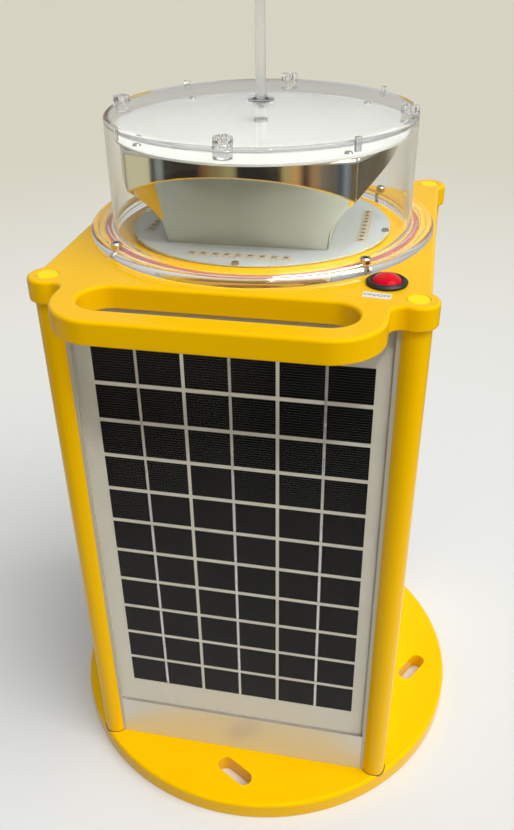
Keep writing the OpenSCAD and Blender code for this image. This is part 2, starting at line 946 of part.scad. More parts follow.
spring_r = 5.6;
spring_wire = 0.5;
spring_turns = 5;
spring_low = bezel_floor + spring_wire + 0.1;
spring_high = cap_low + 5 - spring_wire - 0.1;
ring_steps = 16;
wire_sides = 6;

function spring_point(i, k) =
  let (
    turn = 360 * i / ring_steps,
    r = spring_r + spring_wire * cos(360 * k / wire_sides),
    rise = (spring_high - spring_low) * i / (spring_turns * ring_steps)
  )
  [r * cos(turn), r * sin(turn), spring_low + rise + spring_wire * sin(360 * k / wire_sides)];

module button_spring() {
  rings = spring_turns * ring_steps;
  color(STEEL)
    at_button(0)
      polyhedron(
        points = [for (i = [0:rings]) for (k = [0:wire_sides - 1]) spring_point(i, k)],
        faces = concat(
          [[for (k = [0:wire_sides - 1]) k]],
          [[for (k = [0:wire_sides - 1]) rings * wire_sides + wire_sides - 1 - k]],
          [
            for (i = [0:rings - 1])
              for (k = [0:wire_sides - 1])
                let (a = i * wire_sides + k, b = i * wire_sides + (k + 1) % wire_sides)
                [a, a + wire_sides, b + wire_sides, b]
          ]
        )
      );
}

module switch_block() {
  color("#404448")
    difference() {
      at_button(block_low)
        rotate([0, 0, 45])
          translate([-block_size[0] / 2, -block_size[1] / 2, 0])
            cube([block_size[0], block_size[1], bezel_foot - block_low]);
      at_button(stem_low - button_travel - 0.2) cylinder(d = stem_d + 4, h = 20);
    }
}

module switch_label() {
  color("white")
    translate([label_at[0], label_at[1], deck_z])
      rotate([0, 0, label_turn])
        translate([-label_size[0] / 2, -label_size[1] / 2, 0]) cube(label_size);
}

base_plate();
pressure_vent();
post_front_left();
post_front_right();
post_rear_right();
post_rear_left();
post_inserts();
base_bolts();
top_bolts();
corner_plugs();
top_plate();
chassis();
body_gaskets();
skirt_plates();
solar_backsheet_front();
solar_backsheet_right();
solar_backsheet_rear();
solar_backsheet_left();
solar_cells_front();
solar_cells_right();
solar_cells_rear();
solar_cells_left();
solar_glass_front();
solar_glass_right();
solar_glass_rear();
solar_glass_left();
junction_boxes();
battery_tray();
battery_left();
battery_right();
battery_strap();
control_shelf();
control_board();
control_parts();
wiring();
heat_spreader();
led_board();
led_rows();
board_screws();
reflector_front();
reflector_right();
reflector_rear();
reflector_left();
reflector_clips();
reflector_cap();
cap_screws();
centre_stud();
lens();
lens_gasket();
lens_screws();
bird_spike();
spike_seal();
button_bezel();
button_seal();
button_nut();
button_cap();
button_stem();
button_spring();
switch_block();
switch_label();
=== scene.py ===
# %% [markdown]
# # A solar LED warning lantern
# The real object is a yellow powder-coated frame: a round base plate, four tubes and a thick top plate
# with a carrying handle cut in it. Solar panels close its sides, and a clear drum lens on top covers a
# four-sided chromed reflector. The construction arrives as a fixed frame of CAD parts. This script gives
# each part its finish, and makes again, with rounder edges, the parts that the eye rests on.

# %% Load the frame
import json
import math

import bmesh
import bpy
import numpy as np
from mathutils import Matrix, Vector
from mathutils.geometry import delaunay_2d_cdt


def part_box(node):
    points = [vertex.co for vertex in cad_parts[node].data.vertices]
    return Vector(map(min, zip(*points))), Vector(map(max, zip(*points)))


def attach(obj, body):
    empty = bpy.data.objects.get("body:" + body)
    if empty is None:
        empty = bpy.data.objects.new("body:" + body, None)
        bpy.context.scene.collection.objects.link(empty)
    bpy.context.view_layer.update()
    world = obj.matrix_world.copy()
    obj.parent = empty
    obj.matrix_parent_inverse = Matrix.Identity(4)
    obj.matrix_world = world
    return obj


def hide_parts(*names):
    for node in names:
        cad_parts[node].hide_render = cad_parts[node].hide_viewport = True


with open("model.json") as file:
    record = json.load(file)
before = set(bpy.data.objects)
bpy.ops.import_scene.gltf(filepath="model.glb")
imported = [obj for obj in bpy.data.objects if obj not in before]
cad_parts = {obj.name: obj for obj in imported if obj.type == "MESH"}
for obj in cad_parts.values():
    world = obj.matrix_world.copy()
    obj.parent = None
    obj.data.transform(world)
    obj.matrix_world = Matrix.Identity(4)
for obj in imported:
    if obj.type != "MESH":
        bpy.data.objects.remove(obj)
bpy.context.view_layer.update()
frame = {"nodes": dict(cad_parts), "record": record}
nodes = frame["nodes"]
MM = 0.001


def span(node):
    """Lowest and highest corner of a CAD node, in millimetres."""
    low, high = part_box(node)
    return np.array(low) / MM, np.array(high) / MM


# %% [markdown]
# ## The camera
# The lantern is seen from a standing person's place, a little to its right, looking down by about 32
# degrees. A lens as long as the sensor is tall gives the strong foreshortening of a near view.

# %% Camera
CAMERA_AT = (0.11705, -0.59167, 0.67459)
PAN, TILT, ROLL = 12.05, 57.64, -0.996
camera_data = bpy.data.cameras.new("camera")
camera_data.sensor_fit = "VERTICAL"
camera_data.sensor_height = 36
camera_data.lens = 36.04
camera_data.shift_x = 0.0044
camera_data.shift_y = 0.0070
camera = bpy.data.objects.new("camera", camera_data)
camera.matrix_world = (
    Matrix.Translation(CAMERA_AT)
    @ Matrix.Rotation(math.radians(PAN), 4, "Z")
    @ Matrix.Rotation(math.radians(TILT), 4, "X")
    @ Matrix.Rotation(math.radians(ROLL), 4, "Z")
)
bpy.context.scene.collection.objects.link(camera)
bpy.context.scene.camera = camera
print("the camera looks down by", 90 - TILT, "degrees")

# %% [markdown]
# ## Helpers for colours and nodes
# Colours are written as sRGB hex, as a paint chart gives them, and shaders want them linear. One function
# turns one into the other, and another adds any node with its settings and links in a single line.

# %% Colours and nodes
def linear(hex_colour):
    """sRGB to linear: c / 12.92 below 0.04045, else ((c + 0.055) / 1.055) to the power 2.4."""
    srgb = np.array([int(hex_colour[i : i + 2], 16) for i in (1, 3, 5)]) / 255
    rgb = np.where(srgb <= 0.04045, srgb / 12.92, ((srgb + 0.055) / 1.055) ** 2.4)
    return (*rgb.tolist(), 1.0)


def add(tree, kind, inputs=None, **settings):
    """Adds a node. Settings are its properties; inputs are values, or the outputs that feed its sockets."""
    node = tree.nodes.new(kind)
    for name, value in settings.items():
        setattr(node, name, value)
    for name, value in (inputs or {}).items():
        if isinstance(value, bpy.types.NodeSocket):
            tree.links.new(value, node.inputs[name])
        else:
            node.inputs[name].default_value = value
    return node


def material(name, colour, inputs):
    """A new material: its Principled shader has this colour and these constant values."""
    made = bpy.data.materials.new(name)
    made.use_nodes = True
    shader = made.node_tree.nodes["Principled BSDF"]
    shader.inputs["Base Color"].default_value = linear(colour)
    for socket, value in inputs.items():
        shader.inputs[socket].default_value = value
    return made


# %% [markdown]
# A finish is never quite even. Paint has orange peel, moulded plastic has a fine grain, and polished metal
# has faint waves. All of these start from noise in the object's own coordinates, whose grain size is given
# in millimetres. The noise then varies the colour between two hex values, the roughness, or the height.

# %% Uneven finishes
def shader_of(made):
    return made.node_tree.nodes["Principled BSDF"]


def grain(made, size_mm, detail=2.0, stretch=(1, 1, 1)):
    """Noise with grains of about size_mm, longer along an axis whose stretch is above 1."""
    tree = made.node_tree
    place = add(tree, "ShaderNodeTexCoord").outputs["Object"]
    scaled = add(tree, "ShaderNodeMapping", {"Vector": place, "Scale": tuple(1 / s for s in stretch)})
    noise = {"Vector": scaled.outputs["Vector"], "Scale": 1 / (size_mm * MM), "Detail": detail}
    return add(tree, "ShaderNodeTexNoise", noise).outputs["Fac"]


def two_colours(made, factor, first, second):
    """Base colour between two hex values, as factor goes from 0 to 1."""
    tree = made.node_tree
    mixed = add(tree, "ShaderNodeMix", {"Factor": factor}, data_type="RGBA")
    mixed.inputs["A"].default_value = linear(first)
    mixed.inputs["B"].default_value = linear(second)
    tree.links.new(mixed.outputs["Result"], shader_of(made).inputs["Base Color"])


def roughness_between(made, factor, low, high):
    """Roughness between two values, as factor goes from 0.3 to 0.7, the range that noise mostly fills."""
    tree = made.node_tree
    spread = add(tree, "ShaderNodeMapRange", {"Value": factor, "From Min": 0.3, "From Max": 0.7})
    spread.inputs["To Min"].default_value = low
    spread.inputs["To Max"].default_value = high
    tree.links.new(spread.outputs["Result"], shader_of(made).inputs["Roughness"])


def relief(made, height, depth_mm, strength=1.0):
    """Bump whose full height is depth_mm."""
    bump = {"Height": height, "Distance": depth_mm * MM, "Strength": strength}
    node = add(made.node_tree, "ShaderNodeBump", bump)
    made.node_tree.links.new(node.outputs["Normal"], shader_of(made).inputs["Normal"])


# %% [markdown]
# ## The floor and the light
# The stage is plain: a pale floor that turns beige far away, a sky that lights more from the right, and two
# lamps, one very soft and one small. Chrome is only as good as what stands round it. A polished surface
# near the floor would mirror nothing but white, so what mirrors see of the floor far out is a room: upright
# stripes of dark, brown, beige and blue-grey. The Light Path node's count of mirror bounces tells mirrored
# rays from the rest.

# %% Floor
ROOM = (
    (-180, "#CFCCB6"), (-154, "#C6C3AC"), (-151, "#101010"), (-147, "#77838A"), (-145, "#77838A"),
    (-142, "#120A07"), (-123, "#120A07"), (-119, "#6A4A2C"), (-113, "#80704A"), (-102, "#98946E"),
    (-98, "#0E0807"), (-77, "#0E0807"), (-73, "#A89A68"), (-67, "#C0965E"), (-62, "#3A2412"),
    (-57, "#A07C56"), (-51, "#6A645E"), (-46, "#56564E"), (-42, "#2A3C54"), (-39, "#70869C"),
    (-35, "#5E4E46"), (-24, "#94785A"), (-8, "#241A14"), (8, "#4A463E"), (24, "#1A1B1A"),
    (44, "#2E302E"), (66, "#B4AE9C"), (95, "#C6C2B2"), (122, "#B4AE9C"), (145, "#A09A88"),
    (168, "#A8A290"),
)


def room_stripes(tree, place):
    """Upright stripes by compass direction: a colour at each angle from +X, eased into the next."""
    turn = add(tree, "ShaderNodeTexGradient", {"Vector": place}, gradient_type="RADIAL").outputs["Fac"]
    ramp = add(tree, "ShaderNodeValToRGB", {"Fac": turn})
    ramp.color_ramp.interpolation = "EASE"
    while len(ramp.color_ramp.elements) < len(ROOM):
        ramp.color_ramp.elements.new(0.5)
    for element, (degrees, colour) in zip(ramp.color_ramp.elements, ROOM):
        element.position = degrees / 360 + 0.5
        element.color = linear(colour)
    return ramp.outputs["Color"]


FLOOR_HALF = 9.0
# Distances from the axis, in metres, over which the paper turns beige and the mirrored room comes in
BEIGE_FROM, BEIGE_AT = 0.2, 2.2
ROOM_FROM, ROOM_AT = 0.34, 0.8
floor_mesh = bpy.data.meshes.new("floor")
corners = [(-FLOOR_HALF, -FLOOR_HALF, 0), (FLOOR_HALF, -FLOOR_HALF, 0)]
corners += [(FLOOR_HALF, FLOOR_HALF, 0), (-FLOOR_HALF, FLOOR_HALF, 0)]
floor_mesh.from_pydata(corners, [], [(0, 1, 2, 3)])
floor = bpy.data.objects.new("floor", floor_mesh)
bpy.context.scene.collection.objects.link(floor)

floor_paint = material("seamless paper", "#E8E8E5", {"Roughness": 0.9, "Specular IOR Level": 0.1})
floor_tree = floor_paint.node_tree
floor_place = add(floor_tree, "ShaderNodeTexCoord").outputs["Object"]
distance = add(floor_tree, "ShaderNodeVectorMath", {0: floor_place}, operation="LENGTH").outputs["Value"]
far = {"Value": distance, "From Min": BEIGE_FROM, "From Max": BEIGE_AT}
fade = add(floor_tree, "ShaderNodeMapRange", far, interpolation_type="SMOOTHSTEP").outputs["Result"]
paper = add(floor_tree, "ShaderNodeMix", {"Factor": fade}, data_type="RGBA")
paper.inputs["A"].default_value = linear("#E7E7E5")
paper.inputs["B"].default_value = linear("#D3CFBF")
beyond = {"Value": distance, "From Min": ROOM_FROM, "From Max": ROOM_AT}
edge = add(floor_tree, "ShaderNodeMapRange", beyond, interpolation_type="SMOOTHSTEP").outputs["Result"]
floor_path = add(floor_tree, "ShaderNodeLightPath").outputs
one_bounce = {0: floor_path["Glossy Depth"], 1: 1.0, 2: 0.5}
mirrored = add(floor_tree, "ShaderNodeMath", one_bounce, operation="COMPARE").outputs[0]
# An outer surface mirrors before any crossing, and the chrome after two with two more to come: both see
# the room. Rays mirrored within one clear wall cross two surfaces and see half of it, others only paper.
crossed = {0: floor_path["Transmission Depth"], 1: 2.0}
past_wall = add(floor_tree, "ShaderNodeMath", crossed, operation="SUBTRACT").outputs[0]
apart = add(floor_tree, "ShaderNodeMath", {0: past_wall}, operation="ABSOLUTE").outputs[0]
outside = add(floor_tree, "ShaderNodeMath", {0: apart, 1: 2.0, 2: 0.5}, operation="COMPARE").outputs[0]
inside = add(floor_tree, "ShaderNodeMath", {0: apart, 1: 0.0, 2: 0.5}, operation="COMPARE").outputs[0]
half_or_all = {0: inside, 1: 0.5, 2: outside}
share = add(floor_tree, "ShaderNodeMath", half_or_all, operation="MULTIPLY_ADD").outputs[0]
by_mirror = add(floor_tree, "ShaderNodeMath", {0: mirrored, 1: share}, operation="MULTIPLY").outputs[0]
in_mirror = add(floor_tree, "ShaderNodeMath", {0: by_mirror, 1: edge}, operation="MULTIPLY").outputs[0]
# Diffuse light gets less back from the floor than paper would give, as the room round it is dimmer
any_diffuse = {0: floor_path["Diffuse Depth"], 1: 0.5}
bounced = add(floor_tree, "ShaderNodeMath", any_diffuse, operation="GREATER_THAN").outputs[0]
lit = add(floor_tree, "ShaderNodeMix", {"Factor": bounced}, data_type="RGBA")
lit.inputs["B"].default_value = linear("#A29E94")
floor_tree.links.new(paper.outputs["Result"], lit.inputs["A"])
seen = add(floor_tree, "ShaderNodeMix", {"Factor": in_mirror}, data_type="RGBA")
floor_tree.links.new(lit.outputs["Result"], seen.inputs["A"])
floor_tree.links.new(room_stripes(floor_tree, floor_place), seen.inputs["B"])
floor_tree.links.new(seen.outputs["Result"], shader_of(floor_paint).inputs["Base Color"])
floor_mesh.materials.append(floor_paint)
print("the floor is", 2 * FLOOR_HALF, "m wide, and the mirrored room has", len(ROOM), "stops")

# %% Sky and lamps
world = bpy.data.worlds.new("studio")
world.use_nodes = True
bpy.context.scene.world = world
sky = world.node_tree
sky_path = add(sky, "ShaderNodeLightPath")
sky_colour = add(sky, "ShaderNodeMix", {"Factor": sky_path.outputs["Is Camera Ray"]}, data_type="RGBA")
sky_colour.inputs["A"].default_value = linear("#F6F7F6")
sky_colour.inputs["B"].default_value = linear("#EBE6D4")
sky.links.new(sky_colour.outputs["Result"], sky.nodes["Background"].inputs["Color"])
# The camera sees the sky in the tone of the far paper, so that no hard horizon shows between them. Mirrored
# and bent rays see it fade into dimmer walls towards the horizon, and diffuse light gets more from the right.
direction = add(sky, "ShaderNodeTexCoord").outputs["Generated"]
sky_axes = add(sky, "ShaderNodeSeparateXYZ", {0: direction}).outputs
walls = {"Value": sky_axes["Z"], "From Min": 0.3, "From Max": 0.8, "To Min": 0.42, "To Max": 0.8}
gloss_sky = add(sky, "ShaderNodeMapRange", walls).outputs["Result"]
is_gloss = {"Value": sky_path.outputs["Is Glossy Ray"], "To Min": 0.8}
sky_level = add(sky, "ShaderNodeMapRange", is_gloss)
sky.links.new(gloss_sky, sky_level.inputs["To Max"])
from_right = {"Value": sky_axes["X"], "From Min": -1.0, "To Min": 0.14, "To Max": 0.76}
diffuse_sky = add(sky, "ShaderNodeMapRange", from_right).outputs["Result"]
sky_strength = add(sky, "ShaderNodeMapRange", {"Value": sky_path.outputs["Diffuse Depth"]})
sky.links.new(sky_level.outputs["Result"], sky_strength.inputs["To Min"])
sky.links.new(diffuse_sky, sky_strength.inputs["To Max"])
sky.links.new(sky_strength.outputs["Result"], sky.nodes["Background"].inputs["Strength"])


def softbox(name, strength, spread_deg, tilt_deg, turn_deg):
    """A sun lamp: a disc of light spread_deg wide, tilt_deg from overhead, towards turn_deg from +X."""
    lamp = bpy.data.lights.new(name, "SUN")
    lamp.energy = strength
    lamp.angle = math.radians(spread_deg)
    holder = bpy.data.objects.new(name, lamp)
    holder.rotation_euler = (0, math.radians(tilt_deg), math.radians(turn_deg))
    bpy.context.scene.collection.objects.link(holder)
    print(name, "has strength", strength, "and is", spread_deg, "degrees wide")


softbox("softbox", 1.86, 50, 37, -22)
softbox("small ceiling lamp", 0.55, 5, 30, -70)
bpy.context.scene.view_settings.view_transform = "Standard"

# %% [markdown]
# ## Helpers for surfaces
# Every new surface is a grid of points worked out as whole arrays. A closed outline is a run of arcs, and
# the straight sides are just the gaps between one arc and the next. Each arc point carries the direction
# that the edge faces there, so that rounded edges shade exactly, however few points they have.

# %% Points, outlines and grids
def arc(cx, cy, radius, start, end, steps=8):
    """Rows of x, y, nx, ny along an arc from start to end degrees. It bulges out when end > start."""
    angle = np.radians(np.linspace(start, end, steps + 1))
    out = np.column_stack([np.cos(angle), np.sin(angle)])
    return np.column_stack([np.array([cx, cy]) + radius * out, out * np.sign(end - start)])


def bend(*settings):
    """The same arc as rows of radius and height alone, for a profile that is turned on a lathe."""
    return arc(*settings)[:, :2]


def grid_faces(rows, columns, closed_rows=False, closed_columns=False):
    """Quads between neighbouring points of a grid, joined round where a side is closed."""
    r = np.arange(rows if closed_rows else rows - 1)[:, None]
    c = np.arange(columns if closed_columns else columns - 1)[None, :]
    r2 = (r + 1) % rows
    c2 = (c + 1) % columns
    quads = np.stack([r * columns + c, r * columns + c2, r2 * columns + c2, r2 * columns + c], -1)
    return quads.reshape(-1, 4)


def stack(*parts):
    """One list of points and faces from several, in millimetres."""
    points, faces, count = [], [], 0
    for some_points, some_faces in parts:
        points.append(np.asarray(some_points, float).reshape(-1, 3))
        faces += [tuple(int(i) + count for i in face) for face in some_faces]
        count += len(points[-1])
    return np.vstack(points), faces


def turned(points, degrees):
    """Points turned about the lantern's axis."""
    a = math.radians(degrees)
    turn = np.array([[math.cos(a), -math.sin(a), 0], [math.sin(a), math.cos(a), 0], [0, 0, 1]])
    return np.asarray(points, float) @ turn.T


SIDES = {"front": 0, "right": 90, "rear": 180, "left": 270}


def on_four_sides(parts, start=0):
    """Points and faces of each part four times, a quarter turn apart from start degrees on."""
    return [(turned(points, turn + start), faces) for turn in SIDES.values() for points, faces in parts]


# %% [markdown]
# A mesh becomes a piece of the lantern here. Poles and seams are merged where it has any, the faces of a
# closed mesh are turned outwards, and edges sharper than a given angle stay crisp. The piece is told which
# body it moves with, and which CAD parts it stands for.

# %% From arrays to pieces
def piece(name, points, faces, finish, slot, stands_for=(), body="lantern", crisp=30, closed=True,
          merge=True):
    """A mesh in metres from points in millimetres."""
    mesh = bpy.data.meshes.new(name)
    mesh.from_pydata((np.asarray(points, float) * MM).tolist(), [], [tuple(f) for f in faces])
    work = bmesh.new()
    work.from_mesh(mesh)
    if merge:
        bmesh.ops.remove_doubles(work, verts=work.verts, dist=1e-7)
    if closed:
        bmesh.ops.recalc_face_normals(work, faces=work.faces)
    work.to_mesh(mesh)
    work.free()
    mesh.polygons.foreach_set("use_smooth", np.ones(len(mesh.polygons), bool))
    mesh.set_sharp_from_angle(angle=math.radians(crisp))
    mesh.materials.append(finish)
    made = bpy.data.objects.new(name, mesh)
    bpy.context.scene.collection.objects.link(made)
    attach(made, body)
    if stands_for:
        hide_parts(*stands_for)
    print("made", name, "with", len(mesh.polygons), "faces")
    return made


def bevel(made, name, width_mm, segments, sharper_than):
    """Rounds off the edges that turn by more than an angle in degrees."""
    rounded = made.modifiers.new(name, "BEVEL")
    rounded.width = width_mm * MM
    rounded.segments = segments
    rounded.limit_method = "ANGLE"
    rounded.angle_limit = math.radians(sharper_than)


def lathe(profile, centre=(0, 0), segments=96, ring=False):
    """A surface of revolution: each profile point (radius, height) turned round an upright axis."""
    profile = np.asarray(profile, float)
    turn = np.linspace(0, 2 * math.pi, segments, endpoint=False)
    x = centre[0] + profile[:, :1] * np.cos(turn)
    y = centre[1] + profile[:, :1] * np.sin(turn)
    z = np.repeat(profile[:, 1:2], segments, axis=1)
    return np.stack([x, y, z], -1).reshape(-1, 3), grid_faces(len(profile), segments, ring, True)


# %% [markdown]
# ## Finishes of the frame
# Polyester powder coat is sprayed on as a dry powder and baked. It melts into a thick, glossy, very even
# skin with a faint orange peel a few millimetres across, which shows where it mirrors a lamp.

# %% Powder coat
powder_coat = material("yellow powder coat", "#FFC500", {"Specular Tint": linear("#FFC23C"), "IOR": 1.37})
two_colours(powder_coat, grain(powder_coat, 80), "#FFC300", "#FFC900")
roughness_between(powder_coat, grain(powder_coat, 9), 0.15, 0.2)
relief(powder_coat, grain(powder_coat, 4), 0.004, 0.3)

# %% [markdown]
# The other finishes follow the same pattern: start from what the thing is made of, take that material's
# usual gloss, and add the unevenness that its making leaves. Injection-moulded plastic has a fine spark
# grain, rolled aluminium a long one, and turned steel is nearly plain.

# %% Plastics, rubbers and metals
def moulded(name, colour, second, roughness, grain_mm=0.9, depth_mm=0.02):
    """Injection-moulded plastic or rubber: slight clouding, and the mould's own fine grain."""
    made = material(name, colour, {"IOR": 1.5})
    two_colours(made, grain(made, 12), colour, second)
    roughness_between(made, grain(made, 5), roughness - 0.05, roughness + 0.05)
    relief(made, grain(made, grain_mm), depth_mm, 0.4)
    return made


def metal(name, colour, second, roughness, stretch=(1, 1, 1), size_mm=1.5):
    """Bare metal: metallic, with faint streaks from rolling or turning."""
    made = material(name, colour, {"Metallic": 1.0})
    two_colours(made, grain(made, size_mm, 3, stretch), colour, second)
    roughness_between(made, grain(made, size_mm * 2, 2, stretch), roughness - 0.06, roughness + 0.06)
    return made


# Anodising leaves a clear oxide skin that scatters light, so this metal is only partly a mirror
anodised = metal("satin anodised aluminium", "#D6D8D4", "#DEE0DC", 0.4, (1, 1, 1), 30)
shader_of(anodised).inputs["Metallic"].default_value = 0.4
# Dyed plastics lose their own colour in white highlights less than clear ones do
lemon = moulded("lemon polyethylene", "#FFE600", "#FFEC00", 0.4)
shader_of(lemon).inputs["Specular Tint"].default_value = linear("#FFE040")
red = moulded("red acrylic", "#D6001C", "#DE0220", 0.1, 6, 0.004)
shader_of(red).inputs["Specular Tint"].default_value = linear("#FF6878")

finishes = {
    "yellow_powder_coat": powder_coat,
    "black_plastic": moulded("black moulded nylon", "#141416", "#1B1B1E", 0.38),
    "lemon_plastic": lemon,
    "stainless_steel": metal("turned stainless steel", "#B9B6B0", "#D6D3CE", 0.2),
    "bare_aluminium": metal("mill-finish aluminium", "#C4C6C8", "#D4D6D8", 0.36, (1, 1, 20)),
    "skirt_aluminium": anodised,
    "black_rubber": moulded("black sponge rubber", "#161616", "#202020", 0.75, 1.4, 0.1),
    "battery_case": moulded("grey battery case", "#3A3D42", "#43464B", 0.5),
    "board_parts": moulded("black relay and capacitor cases", "#1C1D20", "#26272A", 0.45),
    "wire_jacket": moulded("red wire jacket", "#A81C1C", "#B82626", 0.45),
    "circuit_board": moulded("green solder mask", "#1D6236", "#246F3E", 0.3),
    "lamp_board_white": moulded("white solder mask", "#C4CECC", "#CAD2D0", 0.34),
    "led_package": moulded("cream LED package", "#CFC2A4", "#D8CCB0", 0.3),
    "white_acrylic": moulded("white acrylic sheet", "#E0E2DA", "#E4E6DE", 0.12, 20, 0.02),
    "gasket_silicone": moulded("red-brown silicone", "#B4604C", "#BC6A54", 0.6),
    "red_plastic": red,
    "white_nylon": moulded("natural nylon", "#E4E2DA", "#ECEAE2", 0.5),
    "label_film": moulded("printed label film", "#E8E8E6", "#EEEEEC", 0.35),
    "white_backsheet": moulded("white backing film", "#CDC7B6", "#D4CEBD", 0.42),
}

# %% [markdown]
# ## Glass and clear plastic
# Clear parts are Principled shaders with full transmission. Real light passes through them to the parts
# behind, but a renderer's shadow rays would stop there, so for those rays the material is transparent. It
# also lets a ray out after so many bounces: light that is mirrored to and fro inside the flange would
# otherwise run into the renderer's limit and leave black arcs. Polycarbonate bends light a little more
# than glass does.

# %% Clear materials
def clear(name, ior, roughness, bounces=20):
    """Glass or clear plastic that lets the lamps through, and lets a ray out after so many bounces."""
    made = material(name, "#FFFFFF", {"Transmission Weight": 1.0, "IOR": ior, "Roughness": roughness})
    tree = made.node_tree
    relief(made, grain(made, 25), 0.02, 0.3)
    path = add(tree, "ShaderNodeLightPath").outputs
    more = {0: path["Ray Depth"], 1: bounces + 0.5}
    late = add(tree, "ShaderNodeMath", more, operation="GREATER_THAN").outputs[0]
    either = {0: path["Is Shadow Ray"], 1: late}
    unstopped = add(tree, "ShaderNodeMath", either, operation="MAXIMUM").outputs[0]
    through = add(tree, "ShaderNodeBsdfTransparent", {"Color": linear("#FAFAFA")}).outputs["BSDF"]
    choices = {0: unstopped, 1: shader_of(made).outputs["BSDF"], 2: through}
    mixed = add(tree, "ShaderNodeMixShader", choices)
    tree.links.new(mixed.outputs["Shader"], tree.nodes["Material Output"].inputs["Surface"])
    return made


# Solar glass is etched against reflections, so it mirrors about as little as a low IOR does
finishes["panel_glass"] = clear("etched solar glass", 1.16, 0.03)
finishes["clear_polycarbonate"] = clear("clear polycarbonate", 1.55, 0.01)
# The drum has a hard coat that mirrors less than bare plastic, and its flange is where light is trapped
coated = clear("hard-coated polycarbonate", 1.34, 0.01, bounces=4)
# The bird spike stands in all weathers, which leaves it slightly matt
frosted = clear("weathered polycarbonate", 1.5, 0.3)

# %% [markdown]
# ## Chrome
# The reflectors are moulded plastic with aluminium evaporated on to them in a vacuum. That gives a true
# mirror whose only fault is the slow waviness of the moulding below it.

# %% Vacuum chrome
# The olive tint of this colour is a painted reflection: a warm cast standing for the yellow deck and floor in
# the mirrors
chrome = material("vacuum-metallised plastic", "#E2DDCA", {"Metallic": 1.0, "Roughness": 0.03})
two_colours(chrome, grain(chrome, 40), "#DFDAC6", "#E7E2CF")
relief(chrome, grain(chrome, 35), 0.06, 0.25)
finishes["chrome"] = chrome

# %% [markdown]
# ## Solar cells
# A monocrystalline cell is nearly black. Silver fingers, each thinner than a hair, cross it every two
# millimetres, and from a metre away they are only a faint ruling. They depend on height alone, so the same
# material serves all four panels.

# %% Silicon cells
# A finger is really 0.1 mm wide; it is drawn 0.35 mm wide so that the ruling shows
FINGER_PITCH, FINGER_W = 2.0, 0.35
silicon = material("monocrystalline silicon", "#0B0B0D", {"Roughness": 0.3, "Specular IOR Level": 0.0})
cell_tree = silicon.node_tree
cell_place = add(cell_tree, "ShaderNodeTexCoord").outputs["Object"]
cell_height = add(cell_tree, "ShaderNodeSeparateXYZ", {0: cell_place}).outputs["Z"]
per_pitch = {0: cell_height, 1: 1 / (FINGER_PITCH * MM)}
pitches = add(cell_tree, "ShaderNodeMath", per_pitch, operation="MULTIPLY").outputs[0]
phase = add(cell_tree, "ShaderNodeMath", {0: pitches}, operation="FRACT").outputs[0]
share_of_pitch = {0: phase, 1: FINGER_W / FINGER_PITCH}
finger = add(cell_tree, "ShaderNodeMath", share_of_pitch, operation="LESS_THAN").outputs[0]
two_colours(silicon, finger, "#070708", "#3C3834")
finishes["silicon_cell"] = silicon

# %% Finishes on the CAD parts
slot_of = {part["node"]: part["material_slot"] for part in frame["record"]["subparts"]}
for node_name, cad_part in nodes.items():
    for holder in cad_part.material_slots:
        holder.material = finishes[slot_of[node_name]]
print(len(slot_of), "CAD parts have", len(finishes), "finishes")

# %% [markdown]
# ## Plates with rounded edges
# The base and the top plate are thick aluminium, cut to an outline and rounded over before coating. One
# function makes both. A wall is a profile carried along a loop, where each profile row says how far into
# the metal the wall stands back and at what height. Rounded edges join the wall to the flat faces without
# a crease, so the flat faces are filled last, and corner normals are set from the profile itself.

# %% Walls carried along a loop
def edge_profile(high, low, top_edge, bottom_edge, top_step=(0, 0), bottom_step=(0, 0)):
    """Rows of setback, height, outward, upward from the top face down to the bottom face.

    Each edge is a quarter circle. A step is a counterbore: how much wider, and how deep."""
    quarter = np.radians(np.linspace(90, 0, 7))
    out, up = np.cos(quarter), np.sin(quarter)
    wide, deep = top_step
    rows = [np.column_stack([wide + top_edge * (1 - out), high - top_edge * (1 - up), out, up])]
    if deep:
        rows.append(np.array([[wide, high - deep, 1, 0], [0, high - deep, 1, 0]]))
    wide, deep = bottom_step
    if deep:
        rows.append(np.array([[0, low + deep, 1, 0], [wide, low + deep, 1, 0]]))
    foot = np.column_stack([wide + bottom_edge * (1 - out), low + bottom_edge * (1 - up), out, -up])
    rows.append(foot[::-1])
    return np.vstack(rows)


def wall(loop, profile, hole=False):
    """Points and normals of a profile carried along a loop of x, y, nx, ny."""
    facing = -loop[:, 2:] if hole else loop[:, 2:]
    setback = profile[:, 0][:, None, None]
    xy = loop[None, :, :2] - setback * facing[None]
    z = np.repeat(profile[:, 1:2], len(loop), axis=1)
    upward = np.repeat(profile[:, 3:4], len(loop), 1)[..., None]
    normals = np.concatenate([facing[None] * profile[:, 2][:, None, None], upward], -1)
    points = np.concatenate([xy, z[..., None]], -1)
    faces = grid_faces(len(profile), len(loop), False, True)
    return points.reshape(-1, 3), normals.reshape(-1, 3), faces, len(loop)


